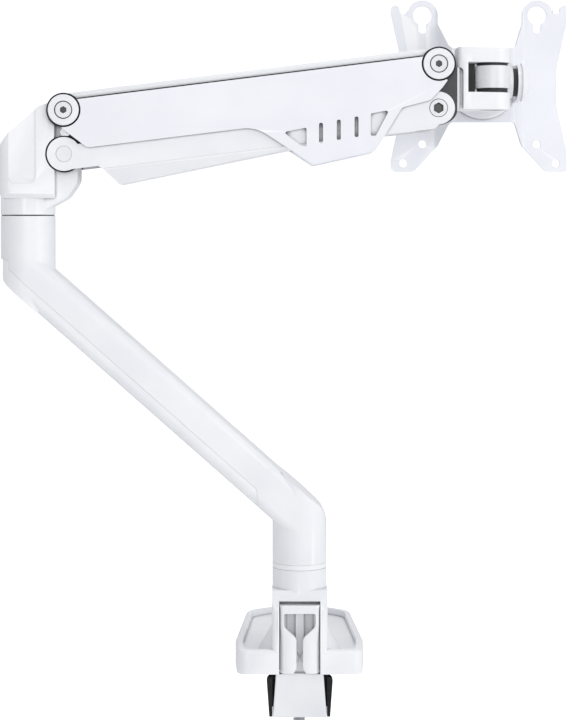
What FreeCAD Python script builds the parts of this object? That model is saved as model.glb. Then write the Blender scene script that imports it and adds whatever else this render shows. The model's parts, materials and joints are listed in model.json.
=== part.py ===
import FreeCAD, Part
import math
import os

# Single spring-balanced monitor arm, clamped to a desk edge. Millimetres, +Z up.
# Origin: underside of the base, on the axis that the lower arm swivels about.
# +X runs along the folded arm towards the screen end, +Y over the desk.

V = FreeCAD.Vector
UP = V(0, 0, 1)
RIGHT = V(1, 0, 0)
AWAY = V(0, 1, 0)

# ---- Clearances and fits ----
RUN = 0.06            # radial clearance of a shaft that turns in its bore
SNUG = 0.02           # radial clearance of a shaft that is fixed in its bore
SLIDE = 0.3           # side clearance of parts that slide past each other
SEAM = 0.1            # gap between shells that are clipped together

# ---- Layout of the arm ----
TUBE_R = 16.75        # radius of the column, the elbow and the lower arm's ends
RING_Z = 62.0         # top of the base column
RING_T = 3.3          # bearing flange between base and lower arm
ELBOW_X = -167.3      # elbow axis
ELBOW_Z = 278.5       # parting line of the elbow
ELBOW_FLANGE_T = 0.8  # bearing flange in the elbow
PIVOT_OUT = 24.2      # link pivots from the elbow axis
PIVOT_UP = 64.2       # upper link pivot above the elbow's parting line
LINK_LENGTH = 228.9   # pivot to pivot along each link
LINK_SPACING = 26.6   # upper pivot to lower pivot
REST_TILT = 7.0       # degrees that the links rise at rest

# ---- Widths across the upper arm, as half widths in Y ----
PLATE_HALF = 22.0     # outer face of the side plates
PLATE_T = 2.0
CHANNEL_WALL = 2.5
LINK_HALF = 19.5      # outer face of the lower link and of the elbow post
LINK_WALL = 2.5
LUG_HALF = 12.0       # lug of the post and tongue of the head between the links
LUG_SLOT_HALF = 4.6   # slot in the lug for the spring's eye

# ---- Pivots of the upper arm ----
HUB_R = 9.4           # round caps over the upper pivots
HUB_GAP = 1.1         # ring gap round a cap
HUB_PROUD = 0.3       # caps stand this far out of the side plates
PIN_R = 4.0           # upper pivot bolts
PIN_HEAD_R = 5.1
PIN_HEAD_T = 2.4
LOW_PIN_R = 4.8       # plain pin in the lower elbow pivot
LOW_BOLT_HEAD_R = 5.3 # bolt in the lower head pivot
LOW_EAR_R = 10.3      # lower link's ear at the elbow
HEAD_EAR_R = 9.9      # lower link's ear at the head
EAR_GAP = 1.0         # gap between an ear and the post round it
BUSH_R = 7.4
SOCKET_R = 2.2        # hexagon sockets, across corners / 2
BIG_SOCKET_R = 3.3

# ---- Base ----
FOOT_HALF = 40.0      # half width of the foot
FOOT_REAR = 22.0      # foot behind the column axis
FOOT_FRONT = 110.0    # foot ahead of the column axis
FOOT_T = 14.6
FOOT_RIM = 4.5
FOOT_DISH = 4.0       # depth of the dished top
PAD_T = 1.5           # foam pad let into the underside
PAD_INSET = 4.0
BLOCK_HALF = 17.0     # block behind the column that holds the clamp bracket
BLOCK_TOP = 39.0
BLOCK_BLEND = 50.0    # height where the block has run out into the column
SLOT_HALF = 12.5      # channel in the block
SLOT_TOP = 44.0
SLOT_FLOOR = 11.0     # channel floor behind the column axis

# ---- Spindles ----
SPINDLE_R = 8.0
BASE_SPINDLE_FOOT = 20.0
SPINDLE_UP = 32.0     # spindle above its parting line
ELBOW_SPINDLE_DOWN = 26.0
SLEEVE_WALL = 2.0     # bearing sleeve round a spindle
SPINDLE_WASHER_T = 1.5

# ---- Lower arm ----
NECK_LOW = 31.6       # from the base parting line to the outer bend
NECK_HIGH = 33.5      # from the elbow parting line down to the inner bend
BEAM_DEPTH = 25.6     # depth of the sloping beam, square to its length
BEAM_EDGE_R = 6.5     # rounding of the beam's long edges
BEND_R = 17.0
STRIP_DEPTH = 8.5     # cable cover along the beam's underside
STRIP_SET_BACK = 2.2  # cover lies inside the elbow tube's side
STRIP_TOP_DOWN = 26.5 # cover's top edge below the elbow's parting line
STRIP_WALL = 1.8
STRIP_END = 26.0      # cover's lower end behind the column axis
CABLE_HALF = 11.0     # half width of the cable channel
CABLE_DEPTH = 9.0
LOCK_SCREW_R = 2.5

# ---- Elbow post ----
POST_TOP_BACK = 41.4  # left edge's height above the parting line
POST_CHAMFER = 7.1    # first, flatter corner of the top
POST_FACE_R = 9.0     # upright edges of the post's box
POST_BOX_FOOT = 10.0  # height where the wider box starts
FACET_INSET = 7.1     # flat recess in the side of the post
FACET_WIDTH = 16.7
FACET_FOOT = 19.8
FACET_DEPTH = 0.5
LUG_R_TOP = 7.6
LUG_REACH = 7.6       # lug beyond the pivots
LUG_DROP = 26.0       # lug below the lower pivot

# ---- Upper arm channel and side plates ----
CHANNEL_TOP = 10.2    # above the pivot line
CHANNEL_WEB = 2.0
CHANNEL_FOOT = 7.0    # flange below the pivot line
CHANNEL_EDGE_R = 3.0
PLATE_TOP = 5.4
PLATE_FOOT = 24.4
SKIRT_FOOT = 51.5     # lowest corner of the plate's vented skirt
VENT_HALF = 1.2
VENT_LENGTH = 12.5

# ---- Lower link ----
LINK_TOP = 5.0        # above its pivot line
LINK_FOOT = 11.6
BELLY_FOOT = 22.5     # lowest corner of the belly cover
BELLY_START = 22.3
BELLY_FLAT = 30.8
BELLY_END = 150.0
BELLY_SLOPE = 7.0     # how far the belly's sides lean in
BELLY_WALL = 1.6

# ---- Lift spring ----
ANCHOR_DROP = 13.0    # anchor pin below the upper pivot
ANCHOR_R = 3.0
SPRING_LINE = 11.4    # spring axis below the upper link's pivot line
EYE_HALF_T = 4.0
EYE_TRAVEL = 1.7      # half travel of the anchor pin in the eye
EYE_WALL = 1.9
EYE_PLAY = 0.4        # play of the anchor pin along the spring, as the linkage is opened there
SEAT_U = 24.0         # spring seat along the link at rest
SEAT_T = 3.0
SEAT_R = 9.2
ROD_R = 4.0
ROD_END = 118.0
SPRING_R = 7.6        # mean radius of the coil
WIRE_R = 1.4
SPRING_COILS = 13
NUT_U = 150.0
NUT_T = 8.0
NUT_HALF = 16.6       # clear of the lower link's cheeks
BLOCK_U = 182.0
BLOCK_T = 8.0
BLOCK_DROP = 8.0      # nut and block below the spring's axis
SCREW_START = 138.0
COLLAR_R = 6.5
COLLAR_T = 3.0

# ---- Head ----
SWIVEL_OUT = 34.5     # swivel axis from the head's link pivots
BRACKET_BACK = 12.4   # bracket's back face from the link pivots
BRACKET_WALL = 6.1
BRACKET_HALF = 14.0
BRACKET_UP = 10.9     # bracket's top above the upper pivot
BRACKET_DOWN = 26.9
WINDOW_UP = 1.8       # window's top above the upper pivot
WINDOW_DOWN = 16.5
CLEVIS_R = 11.0
RELIEF_W = 3.2        # relief in the bracket's near edge
RELIEF_DEPTH = 3.0
BARREL_R = 10.5
BARREL_GAP = 1.7      # washer space above the barrel
SWIVEL_PIN_R = 4.0
SWIVEL_HEAD_R = 7.0
SWIVEL_HEAD_T = 3.0
TILT_Y = 32.0         # tilt axis beyond the swivel axis
TILT_DOWN = 7.6       # tilt axis below the upper pivot
TILT_BOSS_R = 10.0
TILT_BOSS_HALF = 16.0
NECK_HALF = 8.5
WASHER_T = 3.0
WASHER_R = 8.8
CHEEK_T = 2.5
CHEEK_R = 11.0
TILT_PIN_R = 3.0
DISC_R = 22.0
DISC_T = 3.0
DISC_GAP = 20.0       # disc beyond the tilt axis
FRICTION_T = 1.2

# ---- Screen plate ----
SHEET_T = 2.5
WEB_HALF = 21.0
WEB_HEIGHT = 24.0
FLANGE_OUT = 7.0      # ears start this far outside the web
EAR_SETBACK = 17.5    # ears beyond the web
HOLE_75 = 75.0
HOLE_100 = 100.0
HOLE_R = 2.5
KEY_R = 6.1
KEY_RISE = 9.2
SPIN_BOLT_R = 4.0

# ---- Clamp ----
BAR_HALF = 10.5
BAR_T = 3.5
BAR_TOP = 40.0
SPADE_TOP_HALF = 14.5
SPADE_FOOT_HALF = 16.5
SPADE_FOOT = 27.4
SPADE_T = 6.5
JAW_T = 5.0
JAW_REACH = 46.0
JAW_SCREW_Y = 30.0
BUMPER_HALF = 20.3
BUMPER_T = 3.5
CLAMP_SCREW_R = 4.0
CLAMP_BOSS_R = 9.0
CLAMP_BOSS_T = 7.0
CLAMP_PAD_R = 15.0
CLAMP_PAD_T = 4.0
CLAMP_RUBBER_T = 1.5
CLAMP_PAD_TOP = 14.0  # pad's rubber face below the desk face at rest
KNOB_R = 16.0
KNOB_T = 13.0
KNOB_TOP = 54.0
BOLT_X = 5.5          # clamp bolts either side of the middle
BOLT_Z = 9.0
BOLT_R = 2.9
BOLT_HEAD_R = 4.6
BOLT_HEAD_T = 1.8
BRACKET_TRAVEL = 27.0

# ---- Cable clip ----
CLIP_HALF = 12.3
CLIP_TOP = 42.0
CLIP_PROUD = 0.4
CLIP_DEPTH = 6.6
CLIP_WALL = 1.7
CLIP_SLIT_HALF = 2.0
CLIP_SLIT_TOP = 22.0
CLIP_CUP_TOP = 37.0
CLIP_CUP_HALF = 9.6

# ---- Places worked out from the values above ----
BUSH_TOP = RING_Z + RING_T
ELBOW_TOP = ELBOW_Z + ELBOW_FLANGE_T
UL = V(ELBOW_X + PIVOT_OUT, 0, ELBOW_Z + PIVOT_UP)
LL = UL - UP * LINK_SPACING
TILT = math.radians(REST_TILT)
ALONG = V(math.cos(TILT), 0, math.sin(TILT))
ACROSS = V(-math.sin(TILT), 0, math.cos(TILT))
UR = UL + ALONG * LINK_LENGTH
LR = UR - UP * LINK_SPACING
CHANNEL_HALF = PLATE_HALF - PLATE_T
EAR_IN = LUG_HALF + SLIDE
EAR_OUT = CHANNEL_HALF - CHANNEL_WALL
HEAD_X = UR.x + SWIVEL_OUT
TILT_Z = UR.z - TILT_DOWN
DISC_Y = TILT_Y + DISC_GAP
WEB_Y = DISC_Y + DISC_T + FRICTION_T
ANCHOR = UL - UP * ANCHOR_DROP


# ---- Small tools for solids ----
def box(x0, x1, y0, y1, z0, z1):
    return Part.makeBox(x1 - x0, y1 - y0, z1 - z0, V(x0, y0, z0))


def rod(radius, start, end):
    return Part.makeCylinder(radius, (end - start).Length, start, end - start)


def tube(outer, inner, start, end):
    return rod(outer, start, end).cut(rod(inner, start, end))


def across_rod(radius, centre, half):
    """Cylinder along Y through a point, the same length either side."""
    return rod(radius, V(centre.x, -half, centre.z), V(centre.x, half, centre.z))


def rounded_wire(corners, place):
    """Closed wire through corners (a, b, radius), each rounded; place maps (a, b) to a point."""
    flat = [V(c[0], c[1], 0) for c in corners]
    radii = [c[2] if len(c) > 2 else 0 for c in corners]
    edges = []
    last = None
    first = None

    def at(point):
        return place(point.x, point.y)

    for i, corner in enumerate(flat):
        back = (flat[i - 1] - corner).normalize()
        ahead = (flat[(i + 1) % len(flat)] - corner).normalize()
        half = math.acos(max(-1.0, min(1.0, back.dot(ahead)))) / 2
        reach = radii[i] / math.tan(half)
        start = corner + back * reach
        end = corner + ahead * reach
        if last is not None and (start - last).Length > 1e-6:
            edges.append(Part.LineSegment(at(last), at(start)).toShape())
        if first is None:
            first = start
        if reach > 1e-6:
            bisector = (back + ahead).normalize()
            middle = corner + bisector * (radii[i] / math.sin(half) - radii[i])
            edges.append(Part.Arc(at(start), at(middle), at(end)).toShape())
        last = end
    if (first - last).Length > 1e-6:
        edges.append(Part.LineSegment(at(last), at(first)).toShape())
    return Part.Wire(edges)


def side_prism(corners, y0, y1):
    """Outline in X and Z, carried from y0 to y1."""
    wire = rounded_wire(corners, lambda a, b: V(a, y0, b))
    return Part.Face(wire).extrude(V(0, y1 - y0, 0))


def plan_prism(corners, z0, z1):
    """Outline in X and Y, carried from z0 to z1."""
    wire = rounded_wire(corners, lambda a, b: V(a, b, z0))
    return Part.Face(wire).extrude(V(0, 0, z1 - z0))


def link_prism(corners, origin, y0, y1):
    """Outline along and across the links, measured from a pivot, carried from y0 to y1."""
    def place(a, b):
        return origin + ALONG * a + ACROSS * b + AWAY * y0
    return Part.Face(rounded_wire(corners, place)).extrude(V(0, y1 - y0, 0))


def link_point(origin, along, across):
    return origin + ALONG * along + ACROSS * across


def link_rod(radius, origin, across, start, end):
    return rod(radius, link_point(origin, start, across), link_point(origin, end, across))


def both_sides(shape):
    """The shape and its mirror image across the arm's middle plane."""
    return [shape, shape.mirror(V(0, 0, 0), AWAY)]


def hexagon(radius, start, end):
    """Hexagonal prism between two points on its axis."""
    axis = (end - start).normalize()
    side = axis.cross(RIGHT if abs(axis.x) < 0.9 else UP).normalize()
    other = axis.cross(side)
    turns = [math.radians(60 * i) for i in range(7)]
    points = [start + side * (radius * math.cos(t)) + other * (radius * math.sin(t)) for t in turns]
    return Part.Face(Part.makePolygon(points)).extrude(end - start)


def joined(shapes):
    whole = shapes[0]
    if len(shapes) > 1:
        whole = whole.multiFuse(shapes[1:]).removeSplitter()
    return whole


def rounded_edges(shape, radius, chosen):
    """Fillet the edges that a test chooses."""
    edges = [edge for edge in shape.Edges if chosen(edge)]
    return shape.makeFillet(radius, edges)


def straight_along(edge, direction):
    """True for a straight edge that runs along a direction."""
    if edge.Curve.TypeId != "Part::GeomLine":
        return False
    run = (edge.Vertexes[1].Point - edge.Vertexes[0].Point).normalize()
    return abs(abs(run.dot(direction)) - 1) < 1e-4


def save(name, shapes):
    shape = shapes[0] if len(shapes) == 1 else Part.makeCompound(shapes)
    solids = shape.Solids
    for solid in solids:
        assert solid.isValid() and solid.Volume > 0, name
    whole = solids[0] if len(solids) == 1 else Part.makeCompound(solids)
    whole.exportStep("parts/" + name + ".step")
    print(name, len(solids), round(sum(s.Volume for s in solids), 1))


os.makedirs("parts", exist_ok=True)


# ---- Base ----
def foot_outline(inset):
    """Plan of the foot: straight behind, drawn in and rounded ahead."""
    half = FOOT_HALF - inset
    rear = -FOOT_REAR + inset
    front = FOOT_FRONT - inset
    right = [(half - 2, rear, 7), (half, 10, 60), (half * 0.86, front - 12, 14), (half * 0.48, front, 16)]
    left = [(-x, y, r) for x, y, r in reversed(right)]
    return right + left


def base_casting():
    foot = plan_prism(foot_outline(0), 0, FOOT_T)
    foot = rounded_edges(foot, 2.0, lambda e: e.BoundBox.ZMin > FOOT_T - 0.01)
    dish = plan_prism(foot_outline(FOOT_RIM), FOOT_T - FOOT_DISH, FOOT_T + 1)
    foot = foot.cut(dish)
    column = rod(TUBE_R, V(0, 0, 0), V(0, 0, RING_Z))
    profile = [(-FOOT_REAR, 0), (-FOOT_REAR, BLOCK_TOP), (-TUBE_R + 1, BLOCK_BLEND), (0, BLOCK_BLEND), (0, 0)]
    points = [V(-BLOCK_HALF, y, z) for y, z in profile]
    block = Part.Face(Part.makePolygon(points + points[:1])).extrude(V(2 * BLOCK_HALF, 0, 0))
    block = rounded_edges(block, 3.5, lambda e: straight_along(e, UP) and e.BoundBox.YMax < -FOOT_REAR + 0.01)
    collar = Part.makeCone(TUBE_R + 9, TUBE_R, 16, V(0, 0, FOOT_T - FOOT_DISH))
    collar = collar.common(box(-TUBE_R - 9, TUBE_R + 9, -FOOT_REAR + 3, TUBE_R + 9, 0, FOOT_T + 20))
    body = joined([foot, column, block, collar])
    slot = box(-SLOT_HALF, SLOT_HALF, -FOOT_REAR - 5, -SLOT_FLOOR, -1, SLOT_TOP)
    socket = rod(SPINDLE_R + SNUG, V(0, 0, BASE_SPINDLE_FOOT), V(0, 0, RING_Z + 1))
    pad_bed = plan_prism(foot_outline(PAD_INSET), -1, PAD_T).cut(pad_notch(PAD_INSET))
    body = body.cut(slot).cut(socket).cut(pad_bed)
    for x in (-BOLT_X, BOLT_X):
        body = body.cut(rod(BOLT_R + SNUG, V(x, -FOOT_REAR, BOLT_Z), V(x, -SLOT_FLOOR + 9, BOLT_Z)))
    return body


def pad_notch(margin):
    """Space round the channel that the foam pad keeps clear of."""
    wide = SLOT_HALF + margin
    return box(-wide, wide, -FOOT_REAR - 5, -SLOT_FLOOR + margin, -2, PAD_T + 1)


def base_pad():
    pad = plan_prism(foot_outline(PAD_INSET + SLIDE), 0, PAD_T)
    return pad.cut(pad_notch(PAD_INSET + SLIDE))


def spindle(bottom, parting):
    """Steel spindle with a shallow screw socket in its top."""
    top = parting + SPINDLE_UP
    post = rod(SPINDLE_R, V(0, 0, bottom), V(0, 0, top))
    post = post.makeChamfer(0.8, [e for e in post.Edges if e.BoundBox.ZMin > top - 0.01])
    groove = tube(SPINDLE_R + 1, SPINDLE_R - 1, V(0, 0, top - 4), V(0, 0, top - 4 + SPINDLE_WASHER_T))
    return post.cut(groove)


def bearing(flange_r, flange_foot, flange_top, top):
    """Flanged plastic sleeve round a spindle."""
    flange = rod(flange_r, V(0, 0, flange_foot), V(0, 0, flange_top))
    sleeve = rod(SPINDLE_R + SLEEVE_WALL, V(0, 0, flange_foot), V(0, 0, top))
    bore = rod(SPINDLE_R + RUN, V(0, 0, flange_foot - 1), V(0, 0, top + 1))
    return joined([flange, sleeve]).cut(bore)


def retaining_clip(parting):
    """Snap ring in the spindle's groove, over the bearing sleeve."""
    foot = parting + SPINDLE_UP - 4 + SNUG
    ring = tube(SPINDLE_R + 1.8, SPINDLE_R - 1 + SNUG, V(0, 0, foot), V(0, 0, foot + SPINDLE_WASHER_T - 2 * SNUG))
    return ring.cut(box(-1.5, 1.5, 0, SPINDLE_R + 3, foot - 1, foot + 4))


def spindle_hole(parting, foot):
    """Bore for a spindle, its sleeve and its snap ring."""
    sleeve = rod(SPINDLE_R + SLEEVE_WALL + RUN, V(0, 0, foot), V(0, 0, parting + SPINDLE_UP + 2))
    return sleeve


# ---- Cable clip ----
def cable_clip():
    rear = -FOOT_REAR - CLIP_PROUD
    front = rear + CLIP_DEPTH
    half = CLIP_HALF - 0.2
    shell = plan_prism([(half, rear, 2.5), (half, front), (-half, front), (-half, rear, 2.5)], 0.5, CLIP_TOP)
    inner = half - CLIP_WALL
    hollow = plan_prism([(inner, rear + CLIP_WALL, 1.5), (inner, front + 1), (-inner, front + 1),
                         (-inner, rear + CLIP_WALL, 1.5)], 0, CLIP_CUP_TOP)
    s = CLIP_SLIT_HALF
    c = CLIP_CUP_HALF
    glass = [(s, -1), (s, CLIP_SLIT_TOP, 5), (c, CLIP_SLIT_TOP + 7, 5), (c, CLIP_CUP_TOP, 1),
             (-c, CLIP_CUP_TOP, 1), (-c, CLIP_SLIT_TOP + 7, 5), (-s, CLIP_SLIT_TOP, 5), (-s, -1)]
    flare = side_prism([(s + 2.2, 0), (s - 0.5, 4), (-s + 0.5, 4), (-s - 2.2, 0)], rear - 1, rear + CLIP_WALL + 1)
    return shell.cut(hollow).cut(side_prism(glass, rear - 1, rear + CLIP_WALL + 0.5)).cut(flare)


# ---- Clamp ----
def clamp_bracket():
    front = -SLOT_FLOOR - 0.1
    rear = front - BAR_T
    bar = box(-BAR_HALF, BAR_HALF, rear, front, -2, BAR_TOP)
    bar = rounded_edges(bar, 2.5, lambda e: straight_along(e, AWAY) and e.BoundBox.ZMin > BAR_TOP - 1)
    spade = side_prism([(SPADE_TOP_HALF, -0.4, 1), (SPADE_FOOT_HALF, -SPADE_FOOT, 0.5),
                        (-SPADE_FOOT_HALF, -SPADE_FOOT, 0.5), (-SPADE_TOP_HALF, -0.4, 1)], front - SPADE_T, front)
    spade = rounded_edges(spade, 0.8, lambda e: e.BoundBox.YMax < front - SPADE_T + 0.01)
    jaw_top = -SPADE_FOOT + JAW_T
    jaw = plan_prism([(SPADE_FOOT_HALF, front - 2), (SPADE_FOOT_HALF, JAW_REACH, 12),
                      (-SPADE_FOOT_HALF, JAW_REACH, 12), (-SPADE_FOOT_HALF, front - 2)], -SPADE_FOOT, jaw_top)
    boss = rod(CLAMP_BOSS_R, V(0, JAW_SCREW_Y, -SPADE_FOOT - CLAMP_BOSS_T), V(0, JAW_SCREW_Y, -SPADE_FOOT))
    ribs = []
    for x in (-SPADE_FOOT_HALF + 2, SPADE_FOOT_HALF - 5):
        rib = [V(x, front - 1, jaw_top - 1), V(x, front + 9, jaw_top - 1), V(x, front - 1, jaw_top + 9)]
        ribs.append(Part.Face(Part.makePolygon(rib + rib[:1])).extrude(V(3, 0, 0)))
    body = joined([bar, spade, jaw, boss] + ribs)
    thread = rod(CLAMP_SCREW_R + RUN, V(0, JAW_SCREW_Y, -SPADE_FOOT - CLAMP_BOSS_T - 1), V(0, JAW_SCREW_Y, 0))
    body = body.cut(thread)
    slot_half = BOLT_R + 0.15
    for x in (-BOLT_X, BOLT_X):
        foot = BOLT_Z - slot_half - 0.3
        top = BOLT_Z + BRACKET_TRAVEL + slot_half + 0.3
        corners = [(x - slot_half, foot, slot_half - 0.01), (x + slot_half, foot, slot_half - 0.01),
                   (x + slot_half, top, slot_half - 0.01), (x - slot_half, top, slot_half - 0.01)]
        body = body.cut(side_prism(corners, rear - 1, front + 1))
    return body


def clamp_bolts():
    """Low-head bolts that hold the bracket in the base's channel."""
    seat = -SLOT_FLOOR - 0.1 - BAR_T - 0.1
    bolts = []
    for x in (-BOLT_X, BOLT_X):
        head = rod(BOLT_HEAD_R, V(x, seat - BOLT_HEAD_T, BOLT_Z), V(x, seat, BOLT_Z))
        shank = rod(BOLT_R, V(x, seat, BOLT_Z), V(x, -SLOT_FLOOR + 8, BOLT_Z))
        socket = hexagon(SOCKET_R, V(x, seat - BOLT_HEAD_T - 1, BOLT_Z), V(x, seat - 0.5, BOLT_Z))
        bolts.append(joined([head, shank]).cut(socket))
    return bolts


def clamp_bumper():
    """Rubber buffer between the bracket and the desk's edge, wider than the bracket."""
    rear = -SLOT_FLOOR
    top = -3.0
    foot = -SPADE_FOOT + JAW_T + 0.1
    half = BUMPER_HALF
    body = side_prism([(half, top, 3), (half - 1.7, foot, 0.5), (-half + 1.7, foot, 0.5), (-half, top, 3)],
                      rear, rear + BUMPER_T)
    wings = []
    for side in (-1, 1):
        inner = SPADE_FOOT_HALF + 0.2
        wing = [(side * inner, top), (side * half, top, 2), (side * (half - 1.7), -SPADE_FOOT + 0.4),
                (side * inner, -SPADE_FOOT + 0.4)]
        wings.append(side_prism(wing, rear - SPADE_T + 0.6, rear + 0.01))
    notch = [box(x, x + 3.6, rear - 1, rear + BUMPER_T + 1, foot - 1, foot + 10)
             for x in (-SPADE_FOOT_HALF + 1.7, SPADE_FOOT_HALF - 5.3)]
    body = joined([body] + wings)
    for gap in notch:
        body = body.cut(gap)
    return body


def clamp_pad():
    top = -CLAMP_PAD_TOP - CLAMP_RUBBER_T
    y = JAW_SCREW_Y
    disc = rod(CLAMP_PAD_R, V(0, y, top - CLAMP_PAD_T), V(0, y, top))
    disc = rounded_edges(disc, 1.0, lambda e: e.BoundBox.ZMax < top - CLAMP_PAD_T + 0.01)
    socket = rod(CLAMP_SCREW_R + RUN, V(0, y, top - CLAMP_PAD_T - 1), V(0, y, top - 1.2))
    return disc.cut(socket)


def clamp_rubber():
    y = JAW_SCREW_Y
    return rod(CLAMP_PAD_R - 0.5, V(0, y, -CLAMP_PAD_TOP - CLAMP_RUBBER_T), V(0, y, -CLAMP_PAD_TOP))


def clamp_screw():
    y = JAW_SCREW_Y
    top = -CLAMP_PAD_TOP - CLAMP_RUBBER_T - 1.3
    return rod(CLAMP_SCREW_R, V(0, y, -KNOB_TOP - KNOB_T + 1), V(0, y, top))


def clamp_knob():
    y = JAW_SCREW_Y
    foot = -KNOB_TOP - KNOB_T
    knob = rod(KNOB_R, V(0, y, foot), V(0, y, -KNOB_TOP))
    for i in range(8):
        turn = math.radians(45 * i)
        centre = V((KNOB_R + 2.5) * math.cos(turn), y + (KNOB_R + 2.5) * math.sin(turn), foot - 1)
        knob = knob.cut(rod(5.0, centre, centre + UP * (KNOB_T + 2)))
    neck = rod(7.5, V(0, y, -KNOB_TOP), V(0, y, -KNOB_TOP + 4))
    hole = rod(CLAMP_SCREW_R + SNUG, V(0, y, foot + 1), V(0, y, -KNOB_TOP + 5))
    return joined([knob, neck]).cut(hole)


save("base_casting", [base_casting()])
save("base_pad", [base_pad()])
save("base_spindle", [spindle(BASE_SPINDLE_FOOT, BUSH_TOP)])
save("base_bearing", [bearing(TUBE_R, RING_Z + 0.05, BUSH_TOP - 0.05, BUSH_TOP + SPINDLE_UP - 5)])
save("base_snap_ring", [retaining_clip(BUSH_TOP)])
save("cable_clip", [cable_clip()])
save("clamp_bracket", [clamp_bracket()])
save("clamp_bolts", clamp_bolts())
save("clamp_bumper", [clamp_bumper()])
save("clamp_pad", [clamp_pad()])
save("clamp_rubber", [clamp_rubber()])
save("clamp_screw", [clamp_screw()])
save("clamp_knob", [clamp_knob()])


# ---- Lower arm ----
BEND_LOW = BUSH_TOP + NECK_LOW
BEND_HIGH = ELBOW_Z - NECK_HIGH
BEAM_SLOPE = (BEND_HIGH - BEND_LOW) / ELBOW_X
BEAM_STRETCH = math.hypot(1, BEAM_SLOPE)
ELBOW_LEFT = ELBOW_X - TUBE_R
ELBOW_RIGHT = ELBOW_X + TUBE_R
SEAM_DEPTH = BEAM_DEPTH - STRIP_DEPTH
STRIP_LEFT = ELBOW_LEFT + STRIP_SET_BACK
STRIP_TOP = ELBOW_Z - STRIP_TOP_DOWN


def beam_z(x, depth):
    """Height of a line along the beam, a depth below its upper face."""
    return BEND_LOW + BEAM_SLOPE * (x - TUBE_R) - depth * BEAM_STRETCH


def lower_arm_body():
    """The whole lower arm, cover included, before it is parted and bored."""
    neck = rod(TUBE_R, V(0, 0, BUSH_TOP), V(0, 0, BEND_LOW + 25))
    elbow = rod(TUBE_R, V(ELBOW_X, 0, BEND_HIGH - 25), V(ELBOW_X, 0, ELBOW_Z))
    near = 40
    beam = side_prism([(near, beam_z(near, 0)), (ELBOW_X - near, beam_z(ELBOW_X - near, 0)),
                       (ELBOW_X - near, beam_z(ELBOW_X - near, BEAM_DEPTH)), (near, beam_z(near, BEAM_DEPTH))],
                      -TUBE_R, TUBE_R)
    run = V(-1, 0, -BEAM_SLOPE).normalize()
    beam = rounded_edges(beam, BEAM_EDGE_R, lambda e: straight_along(e, run))
    plan = [rod(TUBE_R, V(0, 0, 0), V(0, 0, ELBOW_Z)), rod(TUBE_R, V(ELBOW_X, 0, 0), V(ELBOW_X, 0, ELBOW_Z)),
            box(ELBOW_X, 0, -TUBE_R, TUBE_R, 0, ELBOW_Z)]
    beam = beam.common(joined(plan))
    body = joined([neck, elbow, beam])
    outline = [(TUBE_R, BUSH_TOP), (TUBE_R, BEND_LOW, BEND_R), (ELBOW_RIGHT, BEND_HIGH), (ELBOW_RIGHT, ELBOW_Z),
               (ELBOW_LEFT, ELBOW_Z), (ELBOW_LEFT, beam_z(ELBOW_LEFT, BEAM_DEPTH), BEND_R),
               (-TUBE_R, beam_z(-TUBE_R, BEAM_DEPTH)), (-TUBE_R, BUSH_TOP)]
    body = body.common(side_prism(outline, -TUBE_R - 1, TUBE_R + 1))
    return body


def strip_bed(gap):
    """Side outline of the space that the cable cover fills, drawn in by a gap."""
    depth = SEAM_DEPTH + gap
    inner = STRIP_LEFT + 4
    end = -STRIP_END - gap
    return [(ELBOW_LEFT - 5, STRIP_TOP - gap), (inner - gap, STRIP_TOP - gap, 1.5),
            (inner, beam_z(inner, depth), 1), (end, beam_z(end, depth), 3.5),
            (end, 50), (ELBOW_LEFT - 5, 50)]


def lower_arm_casting(body):
    arm = body.cut(side_prism(strip_bed(0), -TUBE_R - 1, TUBE_R + 1))
    start = ELBOW_X + 7
    end = -STRIP_END - 7
    top = SEAM_DEPTH - CABLE_DEPTH
    channel = [(start, beam_z(start, SEAM_DEPTH + 3)), (end, beam_z(end, SEAM_DEPTH + 3)),
               (end, beam_z(end, top), 4), (start, beam_z(start, top), 4)]
    arm = arm.cut(side_prism(channel, -CABLE_HALF, CABLE_HALF))
    arm = arm.cut(spindle_hole(BUSH_TOP, BUSH_TOP - 1))
    seat = ELBOW_Z - ELBOW_SPINDLE_DOWN
    arm = arm.cut(rod(SPINDLE_R + SNUG, V(ELBOW_X, 0, seat), V(ELBOW_X, 0, ELBOW_Z + 1)))
    return arm.cut(lock_screw_rod(V(0, 0, BUSH_TOP), LOCK_SCREW_R + SNUG, TUBE_R + 1))


def lower_arm_cover(body):
    outer = body.common(side_prism(strip_bed(SEAM), -TUBE_R, TUBE_R))
    outer = outer.common(box(STRIP_LEFT, 0, -TUBE_R, TUBE_R, 0, ELBOW_Z))
    left = STRIP_LEFT + STRIP_WALL
    end = -STRIP_END - STRIP_WALL
    floor = BEAM_DEPTH - STRIP_WALL
    inner = [(left, STRIP_TOP - STRIP_WALL), (left + 15, STRIP_TOP + 5), (end, beam_z(end, SEAM_DEPTH - 9)),
             (end, beam_z(end, floor)), (left, beam_z(left, floor), 12)]
    half = TUBE_R - STRIP_WALL - 1.5
    under_elbow = rod(TUBE_R - STRIP_WALL, V(ELBOW_X, 0, 0), V(ELBOW_X, 0, ELBOW_Z))
    under_beam = box(ELBOW_X, 0, -half, half, 0, ELBOW_Z)
    return outer.cut(side_prism(inner, -half, half).common(joined([under_elbow, under_beam])))


def lock_screw_rod(foot, radius, reach):
    """Radial screw on the far side of a neck, bearing on the sleeve inside it."""
    z = foot.z + 11
    return rod(radius, V(foot.x, SPINDLE_R + SLEEVE_WALL + RUN + 0.05, z), V(foot.x, reach, z))


def lock_screw(foot):
    screw = lock_screw_rod(foot, LOCK_SCREW_R, TUBE_R - 0.6)
    z = foot.z + 11
    return screw.cut(hexagon(1.4, V(foot.x, TUBE_R - 3, z), V(foot.x, TUBE_R, z)))


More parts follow.
